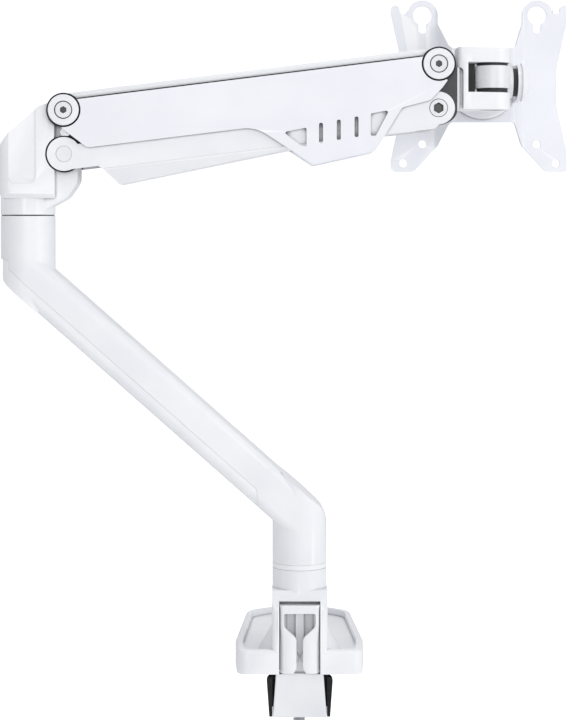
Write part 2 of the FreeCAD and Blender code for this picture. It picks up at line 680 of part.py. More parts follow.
ARM_BODY = lower_arm_body()
ELBOW_FOOT = V(ELBOW_X, 0, 0)
save("lower_arm_casting", [lower_arm_casting(ARM_BODY)])
save("lower_arm_cover", [lower_arm_cover(ARM_BODY)])
save("base_lock_screw", [lock_screw(V(0, 0, BUSH_TOP))])
save("elbow_spindle", [spindle(ELBOW_Z - ELBOW_SPINDLE_DOWN, ELBOW_TOP).translated(ELBOW_FOOT)])
save("elbow_bearing", [bearing(TUBE_R - 0.6, ELBOW_Z + 0.05, ELBOW_TOP - 0.05, ELBOW_TOP + SPINDLE_UP - 5)
                       .translated(ELBOW_FOOT)])
save("elbow_snap_ring", [retaining_clip(ELBOW_TOP).translated(ELBOW_FOOT)])


# ---- Elbow post ----
def elbow_post():
    left = ELBOW_LEFT
    top_back = ELBOW_Z + POST_TOP_BACK
    lean = (9.2 / POST_CHAMFER)
    shoulder = V(UL.x - 15.2, 0, UL.z + 2.5)
    right = ELBOW_RIGHT + 1.5
    stem = rod(TUBE_R, V(ELBOW_X, 0, ELBOW_TOP), V(ELBOW_X, 0, ELBOW_TOP + POST_BOX_FOOT + 4))
    core = rod(TUBE_R - 0.5, V(ELBOW_X, 0, ELBOW_TOP), V(ELBOW_X, 0, LL.z))
    head = side_prism([(left, ELBOW_TOP + POST_BOX_FOOT), (left, top_back),
                       (left + POST_CHAMFER, top_back + POST_CHAMFER * lean), (shoulder.x, shoulder.z),
                       (right, shoulder.z + 3), (right, ELBOW_TOP + POST_BOX_FOOT)], -LINK_HALF, LINK_HALF)
    head = rounded_edges(head, POST_FACE_R, lambda e: straight_along(e, UP) and e.BoundBox.XMax < left + 1)
    slope = LINK_HALF - TUBE_R
    foot_edges = [e for e in head.Edges if e.BoundBox.ZMax < ELBOW_TOP + POST_BOX_FOOT + 0.01
                  and e.BoundBox.XMax < right - 0.01 or straight_along(e, RIGHT)
                  and e.BoundBox.ZMax < ELBOW_TOP + POST_BOX_FOOT + 0.01]
    head = head.makeChamfer(slope, foot_edges)
    for pivot, radius in ((UL, HUB_R + HUB_GAP), (LL, LOW_EAR_R + EAR_GAP)):
        head = head.cut(across_rod(radius, pivot, LINK_HALF + 1))
    facet_left = left + FACET_INSET
    facet_foot = ELBOW_Z + FACET_FOOT
    facet = side_prism([(facet_left, facet_foot, 4), (facet_left + FACET_WIDTH, facet_foot, 4),
                        (facet_left + FACET_WIDTH, UL.z + 20), (facet_left, UL.z + 20)],
                       -LINK_HALF - 1, -LINK_HALF + FACET_DEPTH)
    for side in both_sides(facet):
        head = head.cut(side)
    r = LUG_R_TOP
    low = LL.z - LUG_DROP
    lug = side_prism([(ELBOW_X, ELBOW_TOP + 1), (ELBOW_X + 8, ELBOW_TOP + 1), (UL.x + 1, low - 0.5, 10),
                      (UL.x + LUG_REACH, low + 9, 9), (UL.x + r, UL.z + r, r - 0.1), (UL.x - r, UL.z + r, r - 0.1),
                      (UL.x - r, UL.z - 1),
                      (UL.x - r - 5, UL.z - 5), (ELBOW_X, UL.z - 6)], -LUG_HALF, LUG_HALF)
    body = joined([stem, core, head, lug])
    eye_slot = side_prism([(UL.x - 10, ANCHOR.z - 9.7, 2), (UL.x + 2, ANCHOR.z - 9.7), (UL.x + 12, LL.z - 2),
                           (UL.x + 12, UL.z + 12), (UL.x - 10, UL.z + 12, 2)], -LUG_SLOT_HALF, LUG_SLOT_HALF)
    body = body.cut(eye_slot)
    for pivot, radius in ((UL, PIN_R), (LL, LOW_PIN_R), (ANCHOR, ANCHOR_R)):
        body = body.cut(across_rod(radius + SNUG, pivot, LINK_HALF + 1))
    body = body.cut(spindle_hole(ELBOW_TOP, ELBOW_TOP - 1).translated(ELBOW_FOOT))
    return body.cut(lock_screw_rod(V(ELBOW_X, 0, ELBOW_TOP), LOCK_SCREW_R + SNUG, LINK_HALF + 1))


def hubs(pivot):
    """Round caps over an upper pivot, counterbored for the bolt's head."""
    face = PLATE_HALF + HUB_PROUD
    hub = rod(HUB_R, V(pivot.x, -face, pivot.z), V(pivot.x, -EAR_OUT - 0.1, pivot.z))
    hub = rounded_edges(hub, 0.5, lambda e: e.BoundBox.YMax < -face + 0.01)
    hub = hub.cut(across_rod(PIN_R + SNUG, pivot, face + 1))
    seat = rod(PIN_HEAD_R + 0.2, V(pivot.x, -face - 1, pivot.z), V(pivot.x, -face + PIN_HEAD_T, pivot.z))
    return both_sides(hub.cut(seat))


def pivot_bolt(pivot):
    """Two-headed pivot bolt through both hubs, with a hexagon socket at each end."""
    face = PLATE_HALF + HUB_PROUD
    bolt = across_rod(PIN_R, pivot, face - PIN_HEAD_T + 0.5)
    head = rod(PIN_HEAD_R, V(pivot.x, -face + 0.1, pivot.z), V(pivot.x, -face + PIN_HEAD_T - 0.05, pivot.z))
    head = rounded_edges(head, 0.4, lambda e: e.BoundBox.YMax < -face + 0.2)
    socket = hexagon(SOCKET_R, V(pivot.x, -face - 1, pivot.z), V(pivot.x, -face + 2.0, pivot.z))
    bolt = joined([bolt] + both_sides(head))
    for cutter in both_sides(socket):
        bolt = bolt.cut(cutter)
    return bolt


def bushes(pivots, outer_face):
    """Plastic bushes between the middle lug and the ears, both sides of each pivot."""
    parts = []
    for pivot, bore in pivots:
        inner = LUG_HALF + 0.05
        bush = tube(BUSH_R - SNUG, bore + RUN, V(pivot.x, -outer_face, pivot.z), V(pivot.x, -inner, pivot.z))
        parts += both_sides(bush)
    return parts


save("elbow_post", [elbow_post()])
save("elbow_lock_screw", [lock_screw(V(ELBOW_X, 0, ELBOW_TOP))])
save("elbow_hubs", hubs(UL))
save("elbow_upper_bolt", [pivot_bolt(UL)])
save("elbow_lower_pin", [across_rod(LOW_PIN_R, LL, LINK_HALF + 0.15)])
save("spring_anchor_pin", [across_rod(ANCHOR_R, ANCHOR, LUG_HALF - 0.2)])


# ---- Upper arm: channel, side plates and the lift spring's fixed end ----
def upper_channel():
    far = LINK_LENGTH
    section = [(0, -CHANNEL_FOOT), (far, -CHANNEL_FOOT), (far, CHANNEL_TOP), (0, CHANNEL_TOP)]
    channel = link_prism(section, UL, -CHANNEL_HALF, CHANNEL_HALF)
    top = [e for e in channel.Edges if straight_along(e, ALONG) and (e.CenterOfMass - UL).dot(ACROSS) > 0]
    channel = channel.makeFillet(CHANNEL_EDGE_R, top)
    roof = CHANNEL_TOP - CHANNEL_WEB
    inside = [(-5, -CHANNEL_FOOT - 5), (far + 5, -CHANNEL_FOOT - 5), (far + 5, roof), (-5, roof)]
    channel = channel.cut(link_prism(inside, UL, -EAR_OUT, EAR_OUT))
    ears = []
    for pivot, side in ((UL, 1), (UR, -1)):
        disc = rod(HUB_R, V(pivot.x, -EAR_OUT - 0.02, pivot.z), V(pivot.x, -EAR_IN, pivot.z))
        strap = link_prism([(0, -CHANNEL_FOOT), (side * 30, -CHANNEL_FOOT), (side * 30, roof), (0, roof)],
                           pivot, -EAR_OUT - 0.02, -EAR_IN)
        ears += both_sides(disc) + both_sides(strap)
    channel = joined([channel] + ears)
    for pivot in (UL, UR):
        face = rod(HUB_R + HUB_GAP, V(pivot.x, -PLATE_HALF, pivot.z), V(pivot.x, -EAR_OUT - 0.05, pivot.z))
        for cutter in both_sides(face):
            channel = channel.cut(cutter)
        channel = channel.cut(across_rod(BUSH_R, pivot, PLATE_HALF))
    return channel


def side_plate():
    """Near side plate: flat sheet round both hubs, with a vented skirt towards the head."""
    far = LINK_LENGTH
    left = [(-1, PLATE_TOP), (-1, -8), (-2.3, -10.9, 0.6), (11.6, -PLATE_FOOT, 4), (far - 114.8, -PLATE_FOOT, 22)]
    right = [(-82.8, -SKIRT_FOOT, 2.5), (-44.8, -47.8, 2), (-42.5, -45.2, 2), (-25.2, -23.6, 3), (-7.5, -21.2, 5),
             (0.5, -14.5, 3), (4.2, -10.4, 0.6), (1, -8), (1, PLATE_TOP)]
    outline = left + [(far + c[0],) + c[1:] for c in right]
    plate = link_prism(outline, UL, -PLATE_HALF, -CHANNEL_HALF)
    for pivot in (UL, UR):
        plate = plate.cut(across_rod(HUB_R + HUB_GAP, pivot, PLATE_HALF + 1))
    vents = [[(-98.3, -29.7, 0.8), (-84.2, -28.6, 0.8), (-85.6, -40.0, 0.8), (-88.4, -39.1, 1)],
             [(-44.5, -24.9, 1), (-33.2, -24.2, 1), (-43.2, -38.6, 1), (-46.2, -38.2, 1)]]
    for i in range(3):
        lean = VENT_LENGTH / 2 * math.sin(TILT)
        rise = VENT_LENGTH / 2 * math.cos(TILT)
        u = -75.9 + 10.9 * i
        v = -33.0 + 0.6 * i
        h = VENT_HALF
        vents.append([(u - lean - h, v - rise, h - 0.01), (u - lean + h, v - rise, h - 0.01),
                      (u + lean + h, v + rise, h - 0.01), (u + lean - h, v + rise, h - 0.01)])
    for vent in vents:
        plate = plate.cut(link_prism(vent, UR, -PLATE_HALF - 1, -CHANNEL_HALF + 1))
    return plate


def cross_block(start, thick, half, top, bore):
    """Block across the channel on the spring's axis, bored for the tension screw."""
    foot = -SPRING_LINE - BLOCK_DROP
    corners = [(start, foot, 1), (start + thick, foot, 1), (start + thick, top), (start, top)]
    block = link_prism(corners, UL, -NUT_HALF, NUT_HALF)
    if half > NUT_HALF:
        shoulder = [(start, -CHANNEL_FOOT), (start + thick, -CHANNEL_FOOT), (start + thick, top), (start, top)]
        block = joined([block, link_prism(shoulder, UL, -half, half)])
    return block.cut(link_rod(bore, UL, -SPRING_LINE, start - 1, start + thick + 1))


def tension_screw():
    """Screw that moves the spring's nut; its collar bears on the fixed block."""
    shaft = link_rod(ROD_R, UL, -SPRING_LINE, SCREW_START, BLOCK_U + BLOCK_T + 3.5)
    collar = link_rod(COLLAR_R, UL, -SPRING_LINE, BLOCK_U - COLLAR_T - 0.1, BLOCK_U - 0.1)
    end = BLOCK_U + BLOCK_T
    head = hexagon(COLLAR_R, link_point(UL, end + 0.1, -SPRING_LINE), link_point(UL, end + 4, -SPRING_LINE))
    socket = hexagon(SOCKET_R + 0.5, link_point(UL, end + 1.5, -SPRING_LINE), link_point(UL, end + 6, -SPRING_LINE))
    return joined([shaft, collar, head]).cut(socket)


def spring_eye():
    """Eye on the anchor pin, with the spring's seat and guide rod in one piece."""
    low = -SPRING_LINE
    pin = (ANCHOR - UL).dot(ALONG)
    half = EYE_TRAVEL + ANCHOR_R + EYE_WALL
    boss = link_prism([(pin - half, low - half, half - 0.1), (pin + half, low - half, half - 0.1),
                       (pin + half, low + half, half - 0.1), (pin - half, low + half, half - 0.1)],
                      UL, -EYE_HALF_T, EYE_HALF_T)
    neck = link_prism([(pin, low - ROD_R), (SEAT_U + 1, low - ROD_R), (SEAT_U + 1, low + half), (pin, low + half)],
                      UL, -EYE_HALF_T, EYE_HALF_T)
    seat = link_rod(SEAT_R, UL, low, SEAT_U, SEAT_U + SEAT_T)
    guide = link_rod(ROD_R, UL, low, SEAT_U, ROD_END)
    r = ANCHOR_R + EYE_PLAY
    reach = EYE_TRAVEL + r
    slot = link_prism([(pin - r, low - reach, r - 0.01), (pin + r, low - reach, r - 0.01),
                       (pin + r, low + reach, r - 0.01), (pin - r, low + reach, r - 0.01)],
                      UL, -EYE_HALF_T - 1, EYE_HALF_T + 1)
    return joined([boss, neck, seat, guide]).cut(slot)


def lift_spring():
    start = SEAT_U + SEAT_T + WIRE_R + 0.05
    length = NUT_U - WIRE_R - 0.05 - start
    helix = Part.makeHelix(length / SPRING_COILS, length, SPRING_R)
    profile = Part.Wire([Part.Circle(V(SPRING_R, 0, 0), V(0, 1, 0), WIRE_R).toShape()])
    coil = Part.Wire(helix.Edges).makePipeShell([profile], True, True)
    turn = FreeCAD.Rotation(UP, ALONG)
    coil.Placement = FreeCAD.Placement(link_point(UL, start, -SPRING_LINE), turn)
    return coil


save("upper_channel", [upper_channel()])
PLATES = both_sides(side_plate())
save("side_plate_near", [PLATES[0]])
save("side_plate_far", [PLATES[1]])
save("screw_block", [cross_block(BLOCK_U, BLOCK_T, EAR_OUT, CHANNEL_TOP - CHANNEL_WEB, ROD_R + RUN)])
save("tension_screw", [tension_screw()])
save("spring_nut", [cross_block(NUT_U, NUT_T, NUT_HALF, CHANNEL_TOP - CHANNEL_WEB - 0.3, ROD_R + RUN)])
save("spring_eye", [spring_eye()])
save("lift_spring", [lift_spring()])
save("upper_bushes", bushes([(UL, PIN_R), (UR, PIN_R)], EAR_OUT))


# ---- Lower link ----
def lower_link():
    far = LINK_LENGTH
    inner = LINK_HALF - LINK_WALL
    flange = link_prism([(0, LINK_TOP), (far, LINK_TOP), (far, -LINK_FOOT + 2), (far - 4, -LINK_FOOT - 0.6, 0.5),
                         (far - 20, -LINK_FOOT - 0.6), (far - 60, -LINK_FOOT), (BELLY_START, -LINK_FOOT, 1),
                         (BELLY_START - 2.5, -LOW_EAR_R + 0.6), (0, -LOW_EAR_R + 0.6)], LL, -LINK_HALF, -inner)
    ears = [rod(LOW_EAR_R, V(LL.x, -LINK_HALF, LL.z), V(LL.x, -inner, LL.z)),
            rod(HEAD_EAR_R, V(LR.x, -LINK_HALF, LR.z), V(LR.x, -inner, LR.z))]
    flange = joined([flange] + ears)
    web = link_prism([(BELLY_START + 2, -LINK_FOOT), (far - 14, -LINK_FOOT), (far - 14, -LINK_FOOT + LINK_WALL),
                      (BELLY_START + 2, -LINK_FOOT + LINK_WALL)], LL, -inner - 0.5, inner + 0.5)
    link = joined(both_sides(flange) + [web])
    link = link.cut(across_rod(LOW_PIN_R + RUN, LL, LINK_HALF + 1))
    link = link.cut(across_rod(PIN_R + RUN, LR, LINK_HALF + 1))
    seat = rod(LOW_BOLT_HEAD_R + 0.3, V(LR.x, -LINK_HALF - 1, LR.z), V(LR.x, -LINK_HALF + 1.5, LR.z))
    for cutter in both_sides(seat):
        link = link.cut(cutter)
    for u in (45, 110):
        hole = rod(1.6, link_point(LL, u, -LINK_FOOT - 1), link_point(LL, u, -LINK_FOOT + LINK_WALL + 1))
        link = link.cut(hole)
    return link


def belly_solid(inset, top, slope_top):
    """Tapering trough under the lower link, with leaning sides, drawn in by a wall."""
    taper = (BELLY_FOOT - LINK_FOOT - 1) / (BELLY_END - BELLY_FLAT)
    end = BELLY_END - 3 * inset
    foot = BELLY_FOOT - inset * 1.1
    outline = [(BELLY_START + inset * 1.5, top), (BELLY_START + inset * 1.5, -LINK_FOOT - 0.1),
               (BELLY_FLAT + inset * 0.6, -foot, 1.5), (end, -foot + taper * (end - BELLY_FLAT)), (end, top)]
    half = LINK_HALF - inset
    solid = link_prism(outline, LL, -half, half)
    lean = math.atan2(BELLY_SLOPE, BELLY_FOOT - slope_top)
    for side in (-1, 1):
        near = half
        far = half - math.tan(lean) * 30
        points = [V(BELLY_START - 5, side * near, -slope_top), V(BELLY_START - 5, side * far, -slope_top - 30),
                  V(BELLY_START - 5, side * (near + 30), -slope_top - 30), V(BELLY_START - 5, side * (near + 30),
                                                                          -slope_top)]
        world = [LL + ALONG * p.x + ACROSS * p.z + AWAY * p.y for p in points]
        wedge = Part.Face(Part.makePolygon(world + world[:1])).extrude(ALONG * (BELLY_END + 20))
        solid = solid.cut(wedge)
    return solid


def lower_link_cover():
    outer = belly_solid(0, -LINK_FOOT - 0.05, LINK_FOOT + 1.2)
    inner = belly_solid(BELLY_WALL, -LINK_FOOT + 2, LINK_FOOT + 1.2)
    cover = outer.cut(inner)
    bosses = []
    for u in (45, 110):
        depth = BELLY_FOOT - (BELLY_FOOT - LINK_FOOT - 1) / (BELLY_END - BELLY_FLAT) * (u - BELLY_FLAT) - 0.8
        bosses.append(tube(3.2, 1.3, link_point(LL, u, -depth), link_point(LL, u, -LINK_FOOT - 0.05)))
    return joined([cover] + bosses)


def link_cover_screws():
    screws = []
    for u in (45, 110):
        seat = -LINK_FOOT + LINK_WALL
        shank = rod(1.28, link_point(LL, u, -LINK_FOOT - 1.6), link_point(LL, u, seat))
        head = rod(2.8, link_point(LL, u, seat), link_point(LL, u, seat + 1.6))
        screws.append(joined([shank, head]))
    return screws


def lower_head_bolt():
    """Bolt through the lower head pivot; deep socket on the near side."""
    face = LINK_HALF + 0.15
    shank = across_rod(PIN_R, LR, LINK_HALF - 1.4)
    head = rod(LOW_BOLT_HEAD_R, V(LR.x, -face, LR.z), V(LR.x, -LINK_HALF + 1.45, LR.z))
    bolt = joined([shank] + both_sides(head))
    socket = hexagon(BIG_SOCKET_R, V(LR.x, -face - 1, LR.z), V(LR.x, -face + 3.5, LR.z))
    return bolt.cut(socket)


save("lower_link", [lower_link()])
save("lower_link_cover", [lower_link_cover()])
save("link_cover_screws", link_cover_screws())
save("lower_bushes", bushes([(LL, LOW_PIN_R), (LR, PIN_R)], LINK_HALF - LINK_WALL - 0.05))
save("head_lower_bolt", [lower_head_bolt()])
save("head_hubs", hubs(UR))
save("head_upper_bolt", [pivot_bolt(UR)])


# ---- Head: bracket, swivel knuckle and tilt yoke ----
BRACKET_X = UR.x + BRACKET_BACK
BRACKET_FACE = BRACKET_X + BRACKET_WALL
BRACKET_TOP = UR.z + BRACKET_UP
BRACKET_FOOT = UR.z - BRACKET_DOWN
WINDOW_TOP = UR.z + WINDOW_UP
WINDOW_FOOT = UR.z - WINDOW_DOWN
BARREL_TOP = WINDOW_TOP - BARREL_GAP
BARREL_FOOT = WINDOW_FOOT + BARREL_GAP + 1.0


def head_bracket():
    half = BRACKET_HALF
    plan = plan_prism([(BRACKET_X, -half, 2.5), (BRACKET_FACE + 3, -half, 6), (HEAD_X, -CLEVIS_R),
                       (HEAD_X, CLEVIS_R), (BRACKET_FACE + 3, half, 6), (BRACKET_X, half, 2.5)],
                      BRACKET_FOOT, BRACKET_TOP)
    end = rod(CLEVIS_R, V(HEAD_X, 0, BRACKET_FOOT), V(HEAD_X, 0, BRACKET_TOP))
    bracket = joined([plan, end])
    window = box(BRACKET_FACE, HEAD_X + 30, -half - 1, half + 1, WINDOW_FOOT, WINDOW_TOP)
    bracket = bracket.cut(window)
    relief = side_prism([(BRACKET_X - 1, BRACKET_FOOT - 1), (BRACKET_X + RELIEF_W, BRACKET_FOOT - 1),
                         (BRACKET_X + RELIEF_W, UR.z - 1.6, 2.5), (BRACKET_X - 1, UR.z - 1.6)],
                        -half - 1, -half + RELIEF_DEPTH)
    for cutter in both_sides(relief):
        bracket = bracket.cut(cutter)
    r = LUG_R_TOP
    low = 9.0
    tongue = side_prism([(UR.x - r, UR.z + r, r - 0.1), (UR.x + r, UR.z + r, r - 0.1), (UR.x + r, UR.z - 1.5),
                         (BRACKET_X + 1, UR.z - 1.5), (BRACKET_X + 1, LR.z + 1), (LR.x + low, LR.z - low, low - 0.1),
                         (LR.x - low, LR.z - low, low - 0.1), (LR.x - low, LR.z + 6, 4),
                         (UR.x - r, UR.z - 8, 4)], -LUG_HALF, LUG_HALF)
    body = joined([bracket, tongue])
    for pivot in (UR, LR):
        body = body.cut(across_rod(PIN_R + SNUG, pivot, LUG_HALF + 1))
    body = body.cut(rod(SWIVEL_PIN_R + SNUG, V(HEAD_X, 0, BRACKET_FOOT - 1), V(HEAD_X, 0, BRACKET_TOP + 1)))
    seat = SWIVEL_HEAD_R + 0.15
    body = body.cut(rod(seat, V(HEAD_X, 0, BRACKET_TOP - SWIVEL_HEAD_T), V(HEAD_X, 0, BRACKET_TOP + 1)))
    return body.cut(rod(seat, V(HEAD_X, 0, BRACKET_FOOT - 1), V(HEAD_X, 0, BRACKET_FOOT + 4)))


def swivel_pin():
    top = BRACKET_TOP - 0.1
    shaft = rod(SWIVEL_PIN_R, V(HEAD_X, 0, BRACKET_FOOT + 0.4), V(HEAD_X, 0, top - 1))
    head = rod(SWIVEL_HEAD_R, V(HEAD_X, 0, BRACKET_TOP - SWIVEL_HEAD_T + 0.05), V(HEAD_X, 0, top))
    socket = hexagon(BIG_SOCKET_R, V(HEAD_X, 0, top - 2), V(HEAD_X, 0, top + 1))
    return joined([shaft, head]).cut(socket)


def swivel_nut():
    nut = hexagon(SWIVEL_HEAD_R - 0.2, V(HEAD_X, 0, BRACKET_FOOT + 0.2), V(HEAD_X, 0, BRACKET_FOOT + 3.95))
    return nut.cut(rod(SWIVEL_PIN_R + SNUG, V(HEAD_X, 0, BRACKET_FOOT - 1), V(HEAD_X, 0, BRACKET_FOOT + 5)))


def swivel_washers():
    radius = BARREL_R - 1.0
    bore = SWIVEL_PIN_R + RUN
    lower = tube(radius, bore, V(HEAD_X, 0, WINDOW_FOOT + 0.05), V(HEAD_X, 0, BARREL_FOOT - 0.05))
    upper = tube(radius, bore, V(HEAD_X, 0, BARREL_TOP + 0.05), V(HEAD_X, 0, WINDOW_TOP - 0.05))
    return [lower, upper]


def swivel_knuckle():
    barrel = rod(BARREL_R, V(HEAD_X, 0, BARREL_FOOT), V(HEAD_X, 0, BARREL_TOP))
    neck = box(HEAD_X - NECK_HALF, HEAD_X + NECK_HALF, 0, TILT_Y, BARREL_FOOT, BARREL_TOP)
    boss = rod(TILT_BOSS_R, V(HEAD_X - TILT_BOSS_HALF, TILT_Y, TILT_Z), V(HEAD_X + TILT_BOSS_HALF, TILT_Y, TILT_Z))
    body = joined([barrel, neck, boss])
    body = body.cut(rod(SWIVEL_PIN_R + RUN, V(HEAD_X, 0, WINDOW_FOOT), V(HEAD_X, 0, WINDOW_TOP)))
    return body.cut(tilt_rod(TILT_PIN_R + RUN, -TILT_BOSS_HALF - 1, TILT_BOSS_HALF + 1))


def tilt_rod(radius, start, end):
    return rod(radius, V(HEAD_X + start, TILT_Y, TILT_Z), V(HEAD_X + end, TILT_Y, TILT_Z))


def tilt_washers():
    start = TILT_BOSS_HALF + 0.05
    end = TILT_BOSS_HALF + WASHER_T - 0.05
    bore = tilt_rod(TILT_PIN_R + RUN, -end - 1, end + 1)
    return [tilt_rod(WASHER_R, -end, -start).cut(bore), tilt_rod(WASHER_R, start, end).cut(bore)]


def tilt_yoke():
    inner = TILT_BOSS_HALF + WASHER_T
    outer = inner + CHEEK_T
    back = DISC_Y + 0.01
    disc = rod(DISC_R, V(HEAD_X, DISC_Y, TILT_Z), V(HEAD_X, DISC_Y + DISC_T, TILT_Z))
    cheeks = []
    for start in (-outer, inner):
        eye = tilt_rod(CHEEK_R, start, start + CHEEK_T)
        x = HEAD_X + start
        arm = [V(x, TILT_Y, TILT_Z - CHEEK_R), V(x, back, TILT_Z - 12), V(x, back, TILT_Z + 12),
               V(x, TILT_Y, TILT_Z + CHEEK_R)]
        cheeks += [eye, Part.Face(Part.makePolygon(arm + arm[:1])).extrude(V(CHEEK_T, 0, 0))]
    yoke = joined([disc] + cheeks)
    yoke = yoke.cut(rod(SPIN_BOLT_R + RUN, V(HEAD_X, DISC_Y - 1, TILT_Z), V(HEAD_X, DISC_Y + DISC_T + 1, TILT_Z)))
    return yoke.cut(tilt_rod(TILT_PIN_R + SNUG, -outer - 1, outer + 1))


def tilt_caps():
    """Domed caps outside the yoke, hollow for the bolt's head and nut."""
    start = TILT_BOSS_HALF + WASHER_T + CHEEK_T + 0.05
    caps = []
    for side in (-1, 1):
        foot = V(HEAD_X + side * start, TILT_Y, TILT_Z)
        cone = Part.makeCone(CHEEK_R + 1.2, 6.5, 5, foot, RIGHT * side)
        rim = rod(CHEEK_R + 1.2, foot - RIGHT * (side * 0.001), foot + RIGHT * (side * 1.0))
        hollow = rod(5.6, foot - RIGHT * (side * 1), foot + RIGHT * (side * 3.6))
        caps.append(joined([cone, rim]).cut(hollow))
    return caps


def tilt_bolt():
    start = TILT_BOSS_HALF + WASHER_T + CHEEK_T
    shank = tilt_rod(TILT_PIN_R, -start - 3.2, start + 0.5)
    return joined([shank, tilt_rod(5.3, start + 0.1, start + 3.3)])


def tilt_nut():
    start = TILT_BOSS_HALF + WASHER_T + CHEEK_T
    nut = hexagon(5.3, V(HEAD_X - start - 3.2, TILT_Y, TILT_Z), V(HEAD_X - start - 0.1, TILT_Y, TILT_Z))
    return nut.cut(tilt_rod(TILT_PIN_R + SNUG, -start - 5, -start))


save("head_bracket", [head_bracket()])
save("swivel_pin", [swivel_pin()])
save("swivel_nut", [swivel_nut()])
save("swivel_washers", swivel_washers())
save("swivel_knuckle", [swivel_knuckle()])
save("tilt_washers", tilt_washers())
save("tilt_yoke", [tilt_yoke()])
save("tilt_caps", tilt_caps())
save("tilt_bolt", [tilt_bolt()])
save("tilt_nut", [tilt_nut()])


# ---- Screen plate ----
def screen_plate():
    ear_y = WEB_Y + EAR_SETBACK
    edge = HOLE_100 / 2 + 8.2
    fold = WEB_HALF + FLANGE_OUT
    bend = math.atan2(EAR_SETBACK, FLANGE_OUT)
    shift = SHEET_T * math.tan(bend / 2)
    near = [(-edge - 1, ear_y), (-fold, ear_y, 3), (-WEB_HALF, WEB_Y, 3)]
    near += [(-x, *rest) for x, *rest in reversed(near)]
    far = [(edge + 1, ear_y + SHEET_T), (fold - shift, ear_y + SHEET_T, 1),
           (WEB_HALF - shift, WEB_Y + SHEET_T, 1)]
    far += [(-x, *rest) for x, *rest in reversed(far)]
    sheet = plan_prism(near + far, -HOLE_100, HOLE_100)
    sheet.translate(V(HEAD_X, 0, TILT_Z))
    a = HOLE_75 / 2
    b = HOLE_100 / 2
    lobe = 9.9
    notch = 2.35
    right = [(WEB_HALF, WEB_HEIGHT, 4), (a - lobe, a + 3.5, 4), (a - lobe, a + KEY_RISE + lobe, lobe - 0.1),
             (a + lobe, a + KEY_RISE + lobe, lobe - 0.1), (b - notch, b - notch, notch - 0.05),
             (b + notch, b - notch, notch - 0.05), (b + notch, b + 3.3, 2.8), (edge, b + 3.3, 2.8),
             (edge, b - 2, 4), (b + 0.3, 12, 18), (b + 0.3, -12, 18), (edge, -b + 2, 8),
             (edge, -b - 5.6, 3.5), (a + 5.5, -b - 5.6, 5), (a - lobe, -a - 1.3, 4), (WEB_HALF, -WEB_HEIGHT, 4)]
    outline = right + [(-c[0],) + c[1:] for c in reversed(right)]
    outline = [(HEAD_X + c[0], TILT_Z + c[1]) + c[2:] for c in outline]
    plate = sheet.common(side_prism(outline, WEB_Y - 5, ear_y + 10))
    cutters = [rod(SPIN_BOLT_R + SNUG, V(HEAD_X, WEB_Y - 1, TILT_Z), V(HEAD_X, WEB_Y + SHEET_T + 1, TILT_Z))]
    for side in (-1, 1):
        for off, down in ((a, -a), (b, -b)):
            at = V(HEAD_X + side * off, ear_y - 1, TILT_Z + down)
            cutters.append(rod(HOLE_R, at, at + AWAY * (SHEET_T + 2)))
        key = V(HEAD_X + side * a, ear_y - 1, TILT_Z + a)
        cutters.append(rod(HOLE_R, key, key + AWAY * (SHEET_T + 2)))
        cutters.append(rod(KEY_R, key + UP * KEY_RISE, key + UP * KEY_RISE + AWAY * (SHEET_T + 2)))
        cutters.append(box(key.x - HOLE_R, key.x + HOLE_R, key.y, key.y + SHEET_T + 2, key.z, key.z + KEY_RISE))
    for cutter in cutters:
        plate = plate.cut(cutter)
    return plate


def friction_washer():
    y = DISC_Y + DISC_T
    centre = V(HEAD_X, y, TILT_Z)
    return tube(DISC_R - 2, SPIN_BOLT_R + RUN, centre + AWAY * 0.05, centre + AWAY * (FRICTION_T - 0.05))


def spin_bolt():
    """Bolt that the screen plate turns on; its low head stands on the far side of the plate."""
    seat = WEB_Y + SHEET_T
    shank = rod(SPIN_BOLT_R, V(HEAD_X, DISC_Y - 6, TILT_Z), V(HEAD_X, seat, TILT_Z))
    head = rod(8, V(HEAD_X, seat, TILT_Z), V(HEAD_X, seat + 3.5, TILT_Z))
    socket = hexagon(BIG_SOCKET_R, V(HEAD_X, seat + 1.2, TILT_Z), V(HEAD_X, seat + 5, TILT_Z))
    return joined([shank, head]).cut(socket)


def spin_nut():
    nut = hexagon(7.2, V(HEAD_X, DISC_Y - 6, TILT_Z), V(HEAD_X, DISC_Y - 0.1, TILT_Z))
    return nut.cut(rod(SPIN_BOLT_R + SNUG, V(HEAD_X, DISC_Y - 8, TILT_Z), V(HEAD_X, DISC_Y + 1, TILT_Z)))


save("screen_plate", [screen_plate()])
save("friction_washer", [friction_washer()])
save("spin_bolt", [spin_bolt()])
save("spin_nut", [spin_nut()])
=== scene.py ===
import json
import math

